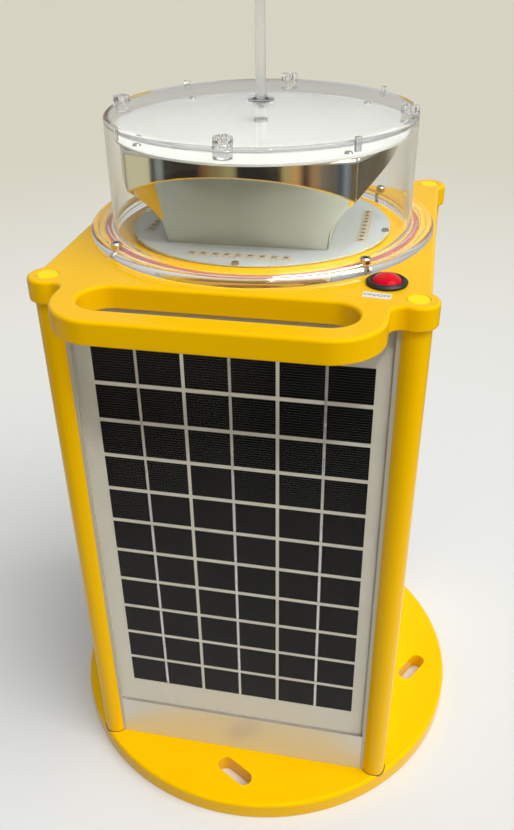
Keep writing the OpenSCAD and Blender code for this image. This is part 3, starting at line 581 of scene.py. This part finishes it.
def flat_face(points, rims):
    """Triangles between closed rims, by a Delaunay triangulation that keeps the rims as edges.

    It fills their convex hull, so a triangle stays only if its middle is inside an odd number of rims:
    a line from it towards +X then crosses the rims an odd number of times."""
    index = np.concatenate(rims)
    edges, start = [], 0
    for rim in rims:
        own = np.arange(start, start + len(rim))
        edges.append(np.column_stack([own, np.roll(own, -1)]))
        start += len(rim)
    edges = np.vstack(edges)
    xy = points[index, :2]
    found = delaunay_2d_cdt([Vector(p) for p in xy.tolist()], edges.tolist(), [], 0, 1e-9)
    source = np.array([group[0] for group in found[3]])
    triangles = source[np.array(found[2])]
    middle = xy[triangles].mean(1)
    a, b = xy[edges[:, 0]], xy[edges[:, 1]]
    spans = (a[:, 1] > middle[:, 1:2]) != (b[:, 1] > middle[:, 1:2])
    rise = np.where(a[:, 1] == b[:, 1], 1.0, b[:, 1] - a[:, 1])
    crossing = a[:, 0] + (middle[:, 1:2] - a[:, 1]) * (b[:, 0] - a[:, 0]) / rise
    inside = (spans & (crossing > middle[:, 0:1])).sum(1) % 2 == 1
    return index[triangles[inside]]


def plate(name, walls, finish, slot, stands_for):
    """A flat part from its walls: its flat faces are filled between the walls' first and last rows.

    Their corners take the faces' own normals, and all others the normals that the profiles give."""
    points = np.vstack([w[0] for w in walls])
    normals = np.vstack([w[1] for w in walls])
    starts = np.cumsum([0] + [len(w[0]) for w in walls])
    faces = [tuple(f + start) for w, start in zip(walls, starts) for f in w[2]]
    top = [start + np.arange(w[3]) for w, start in zip(walls, starts)]
    bottom = [end - w[3] + np.arange(w[3]) for w, end in zip(walls, starts[1:])]
    faces += [tuple(f) for rims in (top, bottom) for f in flat_face(points, rims)]
    made = piece(name, points, faces, finish, slot, [stands_for], merge=False)
    mesh = made.data
    flat = np.zeros(len(mesh.polygons) * 3)
    mesh.polygons.foreach_get("normal", flat)
    sizes = np.zeros(len(mesh.polygons), int)
    mesh.polygons.foreach_get("loop_total", sizes)
    corner = np.zeros(len(mesh.loops), int)
    mesh.loops.foreach_get("vertex_index", corner)
    per_corner = np.repeat(flat.reshape(-1, 3), sizes, axis=0)
    level_face = np.abs(per_corner[:, 2:]) > 0.9999
    mesh.normals_split_custom_set(np.where(level_face, per_corner, normals[corner]).tolist())


def circle(x, y, radius, steps=48):
    """A round loop."""
    return arc(x, y, radius, 0, 360 * (1 - 1 / steps), steps - 1)


def slot_loop(x, y, length, width, slant=0):
    """A loop with two straight sides and round ends, turned by slant degrees."""
    reach = (length - width) / 2
    a = math.radians(slant)
    dx, dy = reach * math.cos(a), reach * math.sin(a)
    right = arc(x + dx, y + dy, width / 2, slant - 90, slant + 90, 16)
    left = arc(x - dx, y - dy, width / 2, slant + 90, slant + 270, 16)
    return np.vstack([right, left])


# %% [markdown]
# ## The base plate
# A disc with a generous round on its upper edge, four slanted slots for anchor bolts, a pocketed bolt hole
# below each post, and a stepped hole for the pressure vent. The posts stand so near the edge that their
# feet sink through its round, so the disc is left whole there and each foot closes its own seat.

# %% Base plate
base_high = span("base_plate")[1]
BASE_R, BASE_T = base_high[0], base_high[2]
EDGE_R, UNDER_EDGE_R = 3.5, 1.0
post_low, post_high = span("post_front_right")
POST_OFFSET = post_low[0] + 0.5 * (post_high - post_low)[0]
corner_signs = [(sx, sy) for sx in (-1, 1) for sy in (-1, 1)]
ANCHOR_AT = 148.5
ANCHOR_SLOT = (35, 13.5)
ANCHOR_SLANT = 30
BOLT_R, BOLT_POCKET_R, BOLT_POCKET_H = 4.5, 7.4, 5
DEBURRED = (0.4, 0.4)
VENT_Y, VENT_R, VENT_POCKET_R = -60, 6, 10

base_walls = [wall(circle(0, 0, BASE_R, 200), edge_profile(BASE_T, 0, EDGE_R, UNDER_EDGE_R))]
for turn in SIDES.values():
    a = math.radians(turn)
    x, y = ANCHOR_AT * math.sin(a), -ANCHOR_AT * math.cos(a)
    opening = slot_loop(x, y, *ANCHOR_SLOT, turn - ANCHOR_SLANT)
    base_walls.append(wall(opening, edge_profile(BASE_T, 0, 0.7, 0.7), hole=True))
post_bolt = edge_profile(BASE_T, 0, *DEBURRED, (0, 0), (BOLT_POCKET_R - BOLT_R, BOLT_POCKET_H))
for sx, sy in corner_signs:
    base_walls.append(wall(circle(sx * POST_OFFSET, sy * POST_OFFSET, BOLT_R), post_bolt, hole=True))
vent_hole = edge_profile(BASE_T, 0, *DEBURRED, (0, 0), (VENT_POCKET_R - VENT_R, BOLT_POCKET_H))
base_walls.append(wall(circle(0, VENT_Y, VENT_R), vent_hole, hole=True))
plate("base_disc", base_walls, powder_coat, "yellow_powder_coat", "base_plate")

# %% [markdown]
# ## The top plate
# Its outline runs anticlockwise up the right half, and the left half is its mirror image: the handle's
# corner, a notch, the lobe over the front post, the straight side, and the lobe over the rear post. The
# fillets between them are circles that touch both neighbours, so their centres follow from the radii.

# %% Top plate
deck_low, deck_high = span("top_plate")
DECK_LOW, DECK_Z = deck_low[2], deck_high[2]
DECK_HALF = 127.7
LOBE_R = 13.7
SIDE_FILLET = 6
NOTCH_FILLET = 8
HANDLE_HALF = 104
HANDLE_CORNER = 35
HANDLE_FRONT = -deck_low[1]
HAND_SLOT = (173.8, 35.3)
GRIP_W = 17.6
DECK_EDGES = (2.4, 1.2)
PLUG_R, PLUG_POCKET_H = 7.4, 7.8
POST_SEAT_R, POST_SEAT_H = 10.5, 4
BUTTON_HOLE_R, LEAD_HOLE_R = 11.15, 12

rise = DECK_HALF + SIDE_FILLET - POST_OFFSET
side_back = POST_OFFSET - math.sqrt((LOBE_R + SIDE_FILLET) ** 2 - rise**2)
side_turn = math.degrees(math.atan2(rise, POST_OFFSET - side_back))
notch_x = HANDLE_HALF + NOTCH_FILLET
notch_drop = math.sqrt((LOBE_R + NOTCH_FILLET) ** 2 - (POST_OFFSET - notch_x) ** 2)
notch_turn = math.degrees(math.atan2(notch_drop, POST_OFFSET - notch_x))
fillet_mid = DECK_HALF + SIDE_FILLET
half_outline = np.vstack([
    arc(HANDLE_HALF - HANDLE_CORNER, HANDLE_CORNER - HANDLE_FRONT, HANDLE_CORNER, -90, 0, 24),
    arc(notch_x, -POST_OFFSET - notch_drop, NOTCH_FILLET, 180, notch_turn, 12),
    arc(POST_OFFSET, -POST_OFFSET, LOBE_R, notch_turn - 180, 90 - side_turn, 30),
    arc(fillet_mid, -side_back, SIDE_FILLET, 270 - side_turn, 180, 8),
    arc(fillet_mid, side_back, SIDE_FILLET, 180, 90 + side_turn, 8),
    arc(POST_OFFSET, POST_OFFSET, LOBE_R, side_turn - 90, 180 - side_turn, 30),
    arc(side_back, fillet_mid, SIDE_FILLET, -side_turn, -90, 8),
])
outline = np.vstack([half_outline, half_outline[::-1] * np.array([-1, 1, -1, 1])])

button_low, button_high = span("button_cap")
BUTTON = tuple((button_low[:2] + button_high[:2]) / 2)
deck_edge = edge_profile(DECK_Z, DECK_LOW, *DECK_EDGES)
hand_slot = slot_loop(0, -HANDLE_FRONT + GRIP_W + HAND_SLOT[1] / 2, *HAND_SLOT)
deck_walls = [wall(outline, deck_edge), wall(hand_slot, deck_edge, hole=True)]
plug_step = (PLUG_R - BOLT_R, PLUG_POCKET_H)
seat_step = (POST_SEAT_R - BOLT_R, POST_SEAT_H)
bolt_hole = edge_profile(DECK_Z, DECK_LOW, 0.5, 0.4, plug_step, seat_step)
for sx, sy in corner_signs:
    deck_walls.append(wall(circle(sx * POST_OFFSET, sy * POST_OFFSET, BOLT_R), bolt_hole, hole=True))
plain_hole = edge_profile(DECK_Z, DECK_LOW, 0.3, 0.3)
deck_walls.append(wall(circle(*BUTTON, BUTTON_HOLE_R), plain_hole, hole=True))
deck_walls.append(wall(circle(0, 0, LEAD_HOLE_R), plain_hole, hole=True))
plate("deck", deck_walls, powder_coat, "yellow_powder_coat", "top_plate")

# %% [markdown]
# ## The lens
# The lens is one clear moulding: a wide flange, a drum wall and a slightly domed top. It is turned from
# its cross-section, the outside going up and the inside coming back down, with every corner an arc.

# %% Lens
lens_low, lens_high = span("lens")
FLANGE_Z, FLANGE_R = lens_low[2], lens_high[0]
CROWN_Z = span("spike_seal")[0][2]
WALL_OUT, WALL_IN = 109.0, 105.6
FLANGE_TOP = FLANGE_Z + 6.1
RIM_Z = 549.6
DOME = CROWN_Z - RIM_Z
TOP_T = 3.0
STUD_HOLE_R = 2.5
RIM_EDGE, INNER_EDGE, WALL_FOOT = 2.5, 2, 3
FLANGE_EDGE, FLANGE_UNDER = 3.4, 2.2
# Two shallow grooves run round the flange: middle radius, and half their width at the face and below it
GROOVES = ((120.0, 0.8, 0.3), (114.6, 1.6, 1.0))
GROOVE_Z = FLANGE_TOP - 0.5
# Light goes wrong where a clear face lies exactly on another face, so the flange floats by this much
AIR = 0.08


def crown(r):
    """Height of the domed top at radius r: a parabola that falls by DOME out to the rim."""
    return CROWN_Z - DOME * (r / (WALL_OUT - RIM_EDGE)) ** 2


grooves = [
    [(mid + wide, FLANGE_TOP), (mid + narrow, GROOVE_Z), (mid - narrow, GROOVE_Z), (mid - wide, FLANGE_TOP)]
    for mid, wide, narrow in GROOVES
]
outer_r = np.linspace(WALL_OUT - RIM_EDGE, STUD_HOLE_R, 24)
inner_r = np.linspace(STUD_HOLE_R, WALL_IN - INNER_EDGE, 24)
ceiling = crown(inner_r) - TOP_T
lens_profile = np.vstack([
    bend(WALL_IN + 0.4, FLANGE_Z + AIR + 0.4, 0.4, 180, 270, 3),
    bend(FLANGE_R - FLANGE_UNDER, FLANGE_Z + AIR + FLANGE_UNDER, FLANGE_UNDER, -90, 0, 8),
    bend(FLANGE_R - FLANGE_EDGE, FLANGE_TOP - FLANGE_EDGE, FLANGE_EDGE, 0, 90, 12),
    *grooves,
    bend(WALL_OUT + WALL_FOOT, FLANGE_TOP + WALL_FOOT, WALL_FOOT, 270, 180, 6),
    bend(WALL_OUT - RIM_EDGE, RIM_Z - RIM_EDGE, RIM_EDGE, 0, 90, 8),
    np.column_stack([outer_r[1:], crown(outer_r[1:])]),
    np.column_stack([inner_r, ceiling]),
    bend(inner_r[-1], ceiling[-1] - INNER_EDGE, INNER_EDGE, 90, 0, 6)[1:],
])
piece("lens_drum", *lathe(lens_profile, segments=240, ring=True), coated, "clear_polycarbonate", ["lens"])

# %% [markdown]
# Four round bosses stand inside the wall and rise through the rim as fluted heads, and four small ribs
# cross it between them. A boss is turned like the lens, but its radius also depends on the angle: a raised
# cosine, sharpened by a power, cuts the flutes to the depth that each row of its section gives.

# %% Bosses and ribs
RIM_TURN = -1.75
BOSS_AT = 102.3
BOSS_R, BORE_R = 6.1, 2.1
BOSS_LOW, BOSS_TOP = RIM_Z - 8.4, RIM_Z + 5
FLUTES, FLUTE_DEEP, SHARPNESS = 10, 0.9, 3
# Rows of radius, height, and the share of the flutes' depth there
boss_rows = np.array([
    [0, BOSS_LOW, 0], [BOSS_R - 0.6, BOSS_LOW, 0], [BOSS_R, BOSS_LOW + 0.6, 0], [BOSS_R, RIM_Z + 0.5, 0],
    [BOSS_R, RIM_Z + 1.1, 1], [BOSS_R, BOSS_TOP - 0.6, 1], [BOSS_R - 0.5, BOSS_TOP, 1],
    [BORE_R + 0.4, BOSS_TOP, 0], [BORE_R, BOSS_TOP - 0.4, 0], [BORE_R, RIM_Z - 2, 0], [0, RIM_Z - 2, 0],
])
angle = np.linspace(0, 2 * math.pi, 12 * FLUTES, endpoint=False)
flute = FLUTE_DEEP * (0.5 + 0.5 * np.cos(FLUTES * angle)) ** SHARPNESS
boss_r = boss_rows[:, :1] - boss_rows[:, 2:] * flute
boss = np.stack([
    boss_r * np.cos(angle), boss_r * np.sin(angle) - BOSS_AT, np.repeat(boss_rows[:, 1:2], len(angle), 1)
], -1).reshape(-1, 3)


def bar(x, y, z):
    """A bar between (low, high) pairs along each axis."""
    points = [(a, b, c) for c in z for b in y for a in x]
    faces = [(0, 2, 3, 1), (4, 5, 7, 6), (0, 1, 5, 4), (1, 3, 7, 5), (3, 2, 6, 7), (2, 0, 4, 6)]
    return np.array(points, float), faces


rib = bar((-2.2, 2.2), (-WALL_OUT - 1.4, -WALL_OUT + 0.8), (RIM_Z - 7, RIM_Z + 2))
bosses = on_four_sides([(boss, grid_faces(len(boss_rows), len(angle), False, True))], RIM_TURN)
ribs = on_four_sides([rib], 45 + RIM_TURN)
lugs = piece("lens_bosses", *stack(*bosses, *ribs), finishes["clear_polycarbonate"], "clear_polycarbonate",
             crisp=40)
bevel(lugs, "soften", 0.4, 2, 60)

# %% [markdown]
# ## The bird spike
# A tapered rod of clear plastic keeps birds from sitting on the lens. It stands on a small flange.

# %% Bird spike
spike_low, spike_high = span("bird_spike")
SPIKE_FOOT = span("spike_seal")[1][2]
SPIKE_TOP = spike_high[2]
spike_profile = np.vstack([
    [[0, spike_low[2]], [2.4, spike_low[2]], [2.4, SPIKE_FOOT], [8.6, SPIKE_FOOT]],
    bend(8.6, SPIKE_FOOT + 0.8, 0.8, -60, 90, 6),
    bend(5.6, SPIKE_FOOT + 3.2, 1.6, 270, 180, 6),
    [[3.7, SPIKE_FOOT + 8], [3.2, SPIKE_FOOT + 74], [2.6, SPIKE_TOP - 15]],
    bend(0, SPIKE_TOP - 2.3, 2.3, 5, 90, 6),
])
piece("spike_rod", *lathe(spike_profile, segments=48), frosted, "clear_polycarbonate", ["bird_spike"])

# %% [markdown]
# ## The reflectors
# Each side's reflector is a trough. In section it is a parabola with its focus at the LED row, and it is
# cut by a mitre at each end and by an upright curved band at its outer edge. Both surfaces are functions
# of x and one other parameter: across the trough the parameter runs from the mitre up to the band, and
# across the band it runs from there up to the cap.

# %% Reflectors
BOARD_Z = span("led_board")[1][2]
CAP_Z = span("reflector_cap")[0][2]
LED_Y = 76
FOCAL = 21
BAND_MID, BAND_CORNER = 94.0, 73.5
TROUGH_ROWS, BAND_ROWS = 41, 9
band_sag = BAND_MID - BAND_CORNER
BAND_R = (BAND_CORNER**2 + band_sag**2) / (2 * band_sag)


def trough_height(distance):
    """Height above the LEDs at which the parabola is this far from the axis."""
    return np.sqrt(np.maximum(distance - LED_Y + FOCAL, 0) * 4 * FOCAL)


def band_distance(x):
    """Distance of the upright band from the axis, on a circle of radius BAND_R."""
    return BAND_MID - BAND_R + np.sqrt(BAND_R**2 - x**2)


side_x = np.linspace(LED_Y - FOCAL, BAND_CORNER, 13)
mid_x = np.linspace(0, LED_Y - FOCAL, 21)
half_x = np.concatenate([mid_x, side_x[1:]])
trough_x = np.concatenate([-half_x[:0:-1], half_x])
start_h = trough_height(np.abs(trough_x))
end_h = trough_height(band_distance(trough_x))
trough_h = start_h + (end_h - start_h) * np.linspace(0, 1, TROUGH_ROWS)[:, None]
trough_y = -(LED_Y - FOCAL + trough_h**2 / (4 * FOCAL))
trough = np.stack([np.broadcast_to(trough_x, trough_h.shape), trough_y, BOARD_Z + trough_h], -1)
band_h = end_h + (CAP_Z - BOARD_Z - end_h) * np.linspace(0, 1, BAND_ROWS)[:, None]
band_y = np.broadcast_to(-band_distance(trough_x), band_h.shape)
band = np.stack([np.broadcast_to(trough_x, band_h.shape), band_y, BOARD_Z + band_h], -1)
trough_faces = grid_faces(TROUGH_ROWS, len(trough_x))
shell, shell_faces = stack((trough, trough_faces), (band, grid_faces(BAND_ROWS, len(trough_x))))
outwards = [face[::-1] for face in shell_faces]
for side, turn in SIDES.items():
    mirror = piece("chrome_trough_" + side, turned(shell, turn), outwards, chrome, "chrome",
                   ["reflector_" + side], crisp=40, closed=False)
    bevel(mirror, "lip", 0.9, 3, 25)
    thick = mirror.modifiers.new("wall", "SOLIDIFY")
    thick.thickness = 1.2 * MM
    thick.offset = -1

# %% [markdown]
# ## The push button
# A black bezel with a rounded flange, and a red cap with a dome that mirrors the lamps. The cap and its
# stem move; the bezel stays with the lantern.

# %% Button
BEZEL_LOW, BEZEL_HIGH = DECK_Z + 0.8, span("button_bezel")[1][2]
CAP_R = (button_high[0] - button_low[0]) / 2
CAP_TOP = button_high[2]
CAP_FOOT = button_low[2]
CAP_DOME = 4.1
CAP_RIM = CAP_TOP - CAP_DOME
WELL_R, WELL_Z = CAP_R + 0.25, 446
STEM_HOLE_R = 2.7
bezel_foot = span("button_bezel")[0][2]
bezel_profile = np.vstack([
    [[STEM_HOLE_R, bezel_foot], [10.9, bezel_foot], [10.9, BEZEL_LOW], [12.9, BEZEL_LOW]],
    bend(12.7, BEZEL_LOW + 0.6, 0.6, -60, 60, 5),
    bend(11.0, BEZEL_HIGH - 0.9, 0.9, 50, 130, 5),
    [[WELL_R, BEZEL_HIGH - 1.2], [WELL_R, WELL_Z], [STEM_HOLE_R, WELL_Z]],
])
collar = lathe(bezel_profile, BUTTON, 64, ring=True)
piece("button_collar", *collar, finishes["black_plastic"], "black_plastic", ["button_bezel"])
dome_r = (CAP_R**2 + CAP_DOME**2) / (2 * CAP_DOME)
dome_edge = math.degrees(math.asin((CAP_R - 0.4) / dome_r))
cap_profile = np.vstack([
    [[0, CAP_FOOT + 5], [CAP_R - 1.6, CAP_FOOT + 5], [CAP_R - 1.6, CAP_FOOT], [CAP_R, CAP_FOOT]],
    bend(CAP_R - 0.8, CAP_RIM - 0.5, 0.8, 0, 40, 4),
    bend(0, CAP_TOP - dome_r, dome_r, 90 - dome_edge, 90, 16),
])
dome = lathe(cap_profile, BUTTON, 64)
piece("button_dome", *dome, finishes["red_plastic"], "red_plastic", ["button_cap"], body="button")

# %% [markdown]
# ## Ribbons on the cells
# A tinned copper ribbon runs up the middle of each column and joins the cells in a row. It lies on each
# cell's face and dips, a little narrower, through the gap to the next. It is a flat tube: four corners
# carried up the panel, whose width and depth depend on how near the height is to a gap.

# %% Ribbons
CELL_W = 62.5
CELL_ROWS, ROW_GAP = 11, 3.25
RIBBON_HALF, RIBBON_T, RIBBON_END = 1.0, 0.06, 2.2
DIP_HALF, DIP_DEEP, DIP_NARROWER = 2.2, 0.1, 0.3
cells_low, cells_high = span("solar_cells_front")
row_pitch = (cells_high[2] - cells_low[2] + ROW_GAP) / CELL_ROWS
column_pitch = (cells_high[0] - cells_low[0] - CELL_W) / 2
cells_mid = (cells_high[0] + cells_low[0]) / 2
cells_face = cells_low[1]


def ribbon(x):
    """Four corners at each height. Nearness to a gap is a narrow bell curve of the height within a row."""
    z = np.linspace(cells_low[2] - RIBBON_END, cells_high[2] + RIBBON_END, CELL_ROWS * 16 + 1)
    in_row = (z - cells_low[2] + ROW_GAP / 2) / row_pitch
    near_gap = np.exp(-(((in_row - np.round(in_row)) * row_pitch / DIP_HALF) ** 2))
    half = RIBBON_HALF - DIP_NARROWER * near_gap
    front = cells_face - 0.08 + DIP_DEEP * near_gap
    back = front + RIBBON_T
    corners = [(x - half, front), (x + half, front), (x + half, back), (x - half, back)]
    points = np.stack([np.column_stack([a, b, z]) for a, b in corners], 1).reshape(-1, 3)
    faces = [tuple(f) for f in grid_faces(len(z), 4, False, True)]
    last = len(points)
    return points, faces + [(0, 1, 2, 3), (last - 1, last - 2, last - 3, last - 4)]


ribbon_tin = metal("tinned copper ribbon", "#BDB8B0", "#E0DCD8", 0.3, (1, 1, 3), 3)
shader_of(ribbon_tin).inputs["Metallic"].default_value = 0.75
relief(ribbon_tin, grain(ribbon_tin, 5), 0.25, 0.6)
three, three_faces = stack(*[ribbon(cells_mid + k * column_pitch) for k in (-1, 0, 1)])
for side, turn in SIDES.items():
    piece("cell_ribbons_" + side, turned(three, turn), three_faces, ribbon_tin, "silicon_cell")

# %% [markdown]
# ## The LED strips
# Each row of nine LEDs sits on its own narrow strip of cream laminate, a little to one side of the middle.
# Small dark solder pads show in front of and behind each LED, and its chip is a small brown dot under the
# middle of the dome.

# %% LED strips
LED_PITCH, LED_SHIFT = 8, -1
PAD_X, PAD_Y = 2, 2.9
STRIP_HALF = 3.8
LED_TOP = span("led_rows")[1][2]
strip_y = (-LED_Y - STRIP_HALF, -LED_Y + STRIP_HALF)
strip = bar((-36.5, 34.5), strip_y, (BOARD_Z - 0.2, BOARD_Z + 0.12))
pad_z = (BOARD_Z + 0.05, BOARD_Z + 0.24)
chip_profile = [(0, LED_TOP - 0.5), (1.6, LED_TOP - 0.5), (1.4, LED_TOP - 0.1), (0, LED_TOP + 0.05)]
pads, chips = [], []
for i in range(-4, 5):
    x = i * LED_PITCH + LED_SHIFT
    pads += [bar((x + a - 0.5, x + a + 0.5), (-LED_Y + b - 0.35, -LED_Y + b + 0.35), pad_z)
             for a in (-PAD_X, PAD_X) for b in (-PAD_Y, PAD_Y)]
    chips.append(lathe(chip_profile, (x, -LED_Y), 16))
laminate = moulded("cream laminate", "#D0C9B2", "#D6CFB8", 0.4)
solder = moulded("solder under flux", "#8A7264", "#967E70", 0.35, 2.0)
chip = moulded("brown chip", "#2E2014", "#3C2C1C", 0.3, 2.0)
for name, parts, finish in (("strips", [strip], laminate), ("pads", pads, solder), ("chips", chips, chip)):
    piece("led_" + name, *stack(*on_four_sides(parts)), finish, "led_package")

# %% [markdown]
# ## Painted shade and sealant
# A thin brown ring round each foot is painted shade: it stands for the shadow in the narrow gap where the
# foot meets the plate. It follows the plate's face, and near the rim it follows the round: there the height
# falls as a quarter circle of the distance from the axis. Pale sealant closes the gaps between each panel and
# its posts, with a thin lip over the edge of the glass, and a grey bead closes the joint between the panel
# and the skirt below it.

# %% Painted shade round the feet
SHADE_RING_IN, SHADE_RING_OUT = 10.2, 11.0
# Rows of distance from the post's axis, and height above the plate
SHADE_RING_ROWS = (
    (SHADE_RING_IN, -0.6), (SHADE_RING_IN, 0.12), ((SHADE_RING_IN + SHADE_RING_OUT) / 2, 0.16), (SHADE_RING_OUT, 0.02), (SHADE_RING_OUT, -0.6),
)
spin = np.linspace(0, 2 * math.pi, 96, endpoint=False)
foot_shade_rings = []
for sx, sy in corner_signs:
    rings = []
    for radius, lift in SHADE_RING_ROWS:
        x = sx * POST_OFFSET + radius * np.cos(spin)
        y = sy * POST_OFFSET + radius * np.sin(spin)
        past = np.clip(np.hypot(x, y) - (BASE_R - EDGE_R), 0, EDGE_R)
        rings.append(np.column_stack([x, y, BASE_T - EDGE_R + np.sqrt(EDGE_R**2 - past**2) + lift]))
    foot_shade_rings.append((np.vstack(rings), grid_faces(len(rings), len(spin), True, True)))
# The brown ring on the plate round each foot is painted shade of the gap where the foot meets the plate
foot_shade_paint = moulded("painted shade round the feet", "#6A430E", "#744C14", 0.5)
piece("foot_shade_ring", *stack(*foot_shade_rings), foot_shade_paint, "black_rubber")

# %% Sealant round the panels
# Each reach is counted from the panel's edge: the lip starts on the glass and the bead ends on the post
LIP_FROM, BEAD_TO = -0.8, 2.1
skirt_top = span("skirt_plates")[1][2]
sheet_low, sheet_high = span("solar_backsheet_front")
glass_front = span("solar_glass_front")[0][1]
sheet_edge = sheet_high[0] + 0.02
joint_y = (glass_front + 0.2, sheet_low[1])
low_joint = bar((-sheet_edge, sheet_edge), joint_y, (skirt_top - 0.1, sheet_low[2] + 0.1))
upright = (BASE_T + 0.1, DECK_LOW - 0.1)
joints = []
for side in (-1, 1):
    lip, gap, post = (side * (sheet_edge + reach) for reach in (LIP_FROM, 0, BEAD_TO))
    joints.append(bar(sorted((gap, post)), (glass_front, sheet_low[1]), upright))
    joints.append(bar(sorted((lip, post)), (glass_front - 0.25, glass_front - 0.03), upright))
pale_bead = moulded("pale silicone sealant", "#C0B9A6", "#CAC3B0", 0.5)
grey_bead = moulded("grey silicone sealant", "#8A8374", "#948D7E", 0.5)
for name, bars, finish in (("panel", joints, pale_bead), ("skirt", [low_joint], grey_bead)):
    piece(name + "_sealant", *stack(*on_four_sides(bars)), finish, "gasket_silicone")

# %% [markdown]
# ## The label
# The switch's label says what the button does. Its letters are a text curve made into a thin mesh, moved
# on to the film in its mesh data.

# %% Label letters
LETTER_H, INK_T, LABEL_TURN = 4.6, 0.02, -6
label_low, label_high = span("switch_label")
letters = bpy.data.curves.new("label_letters", "FONT")
letters.body = "ON/OFF"
letters.align_x = "CENTER"
letters.align_y = "CENTER"
letters.size = LETTER_H * MM
letters.extrude = INK_T * MM
text = bpy.data.objects.new("label_text", letters)
bpy.context.scene.collection.objects.link(text)
bpy.context.view_layer.update()
letter_mesh = bpy.data.meshes.new_from_object(text.evaluated_get(bpy.context.evaluated_depsgraph_get()))
bpy.data.objects.remove(text)
label_mid = (label_low + label_high) / 2 * MM
place = Matrix.Translation((label_mid[0], label_mid[1], (label_high[2] + INK_T) * MM))
letter_mesh.transform(place @ Matrix.Rotation(math.radians(LABEL_TURN), 4, "Z"))
letter_mesh.materials.clear()
letter_mesh.materials.append(moulded("printing ink", "#2A2E38", "#30343E", 0.5))
label_print = bpy.data.objects.new("label_print", letter_mesh)
bpy.context.scene.collection.objects.link(label_print)
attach(label_print, "lantern")
print("printed", letters.body, "on the label")
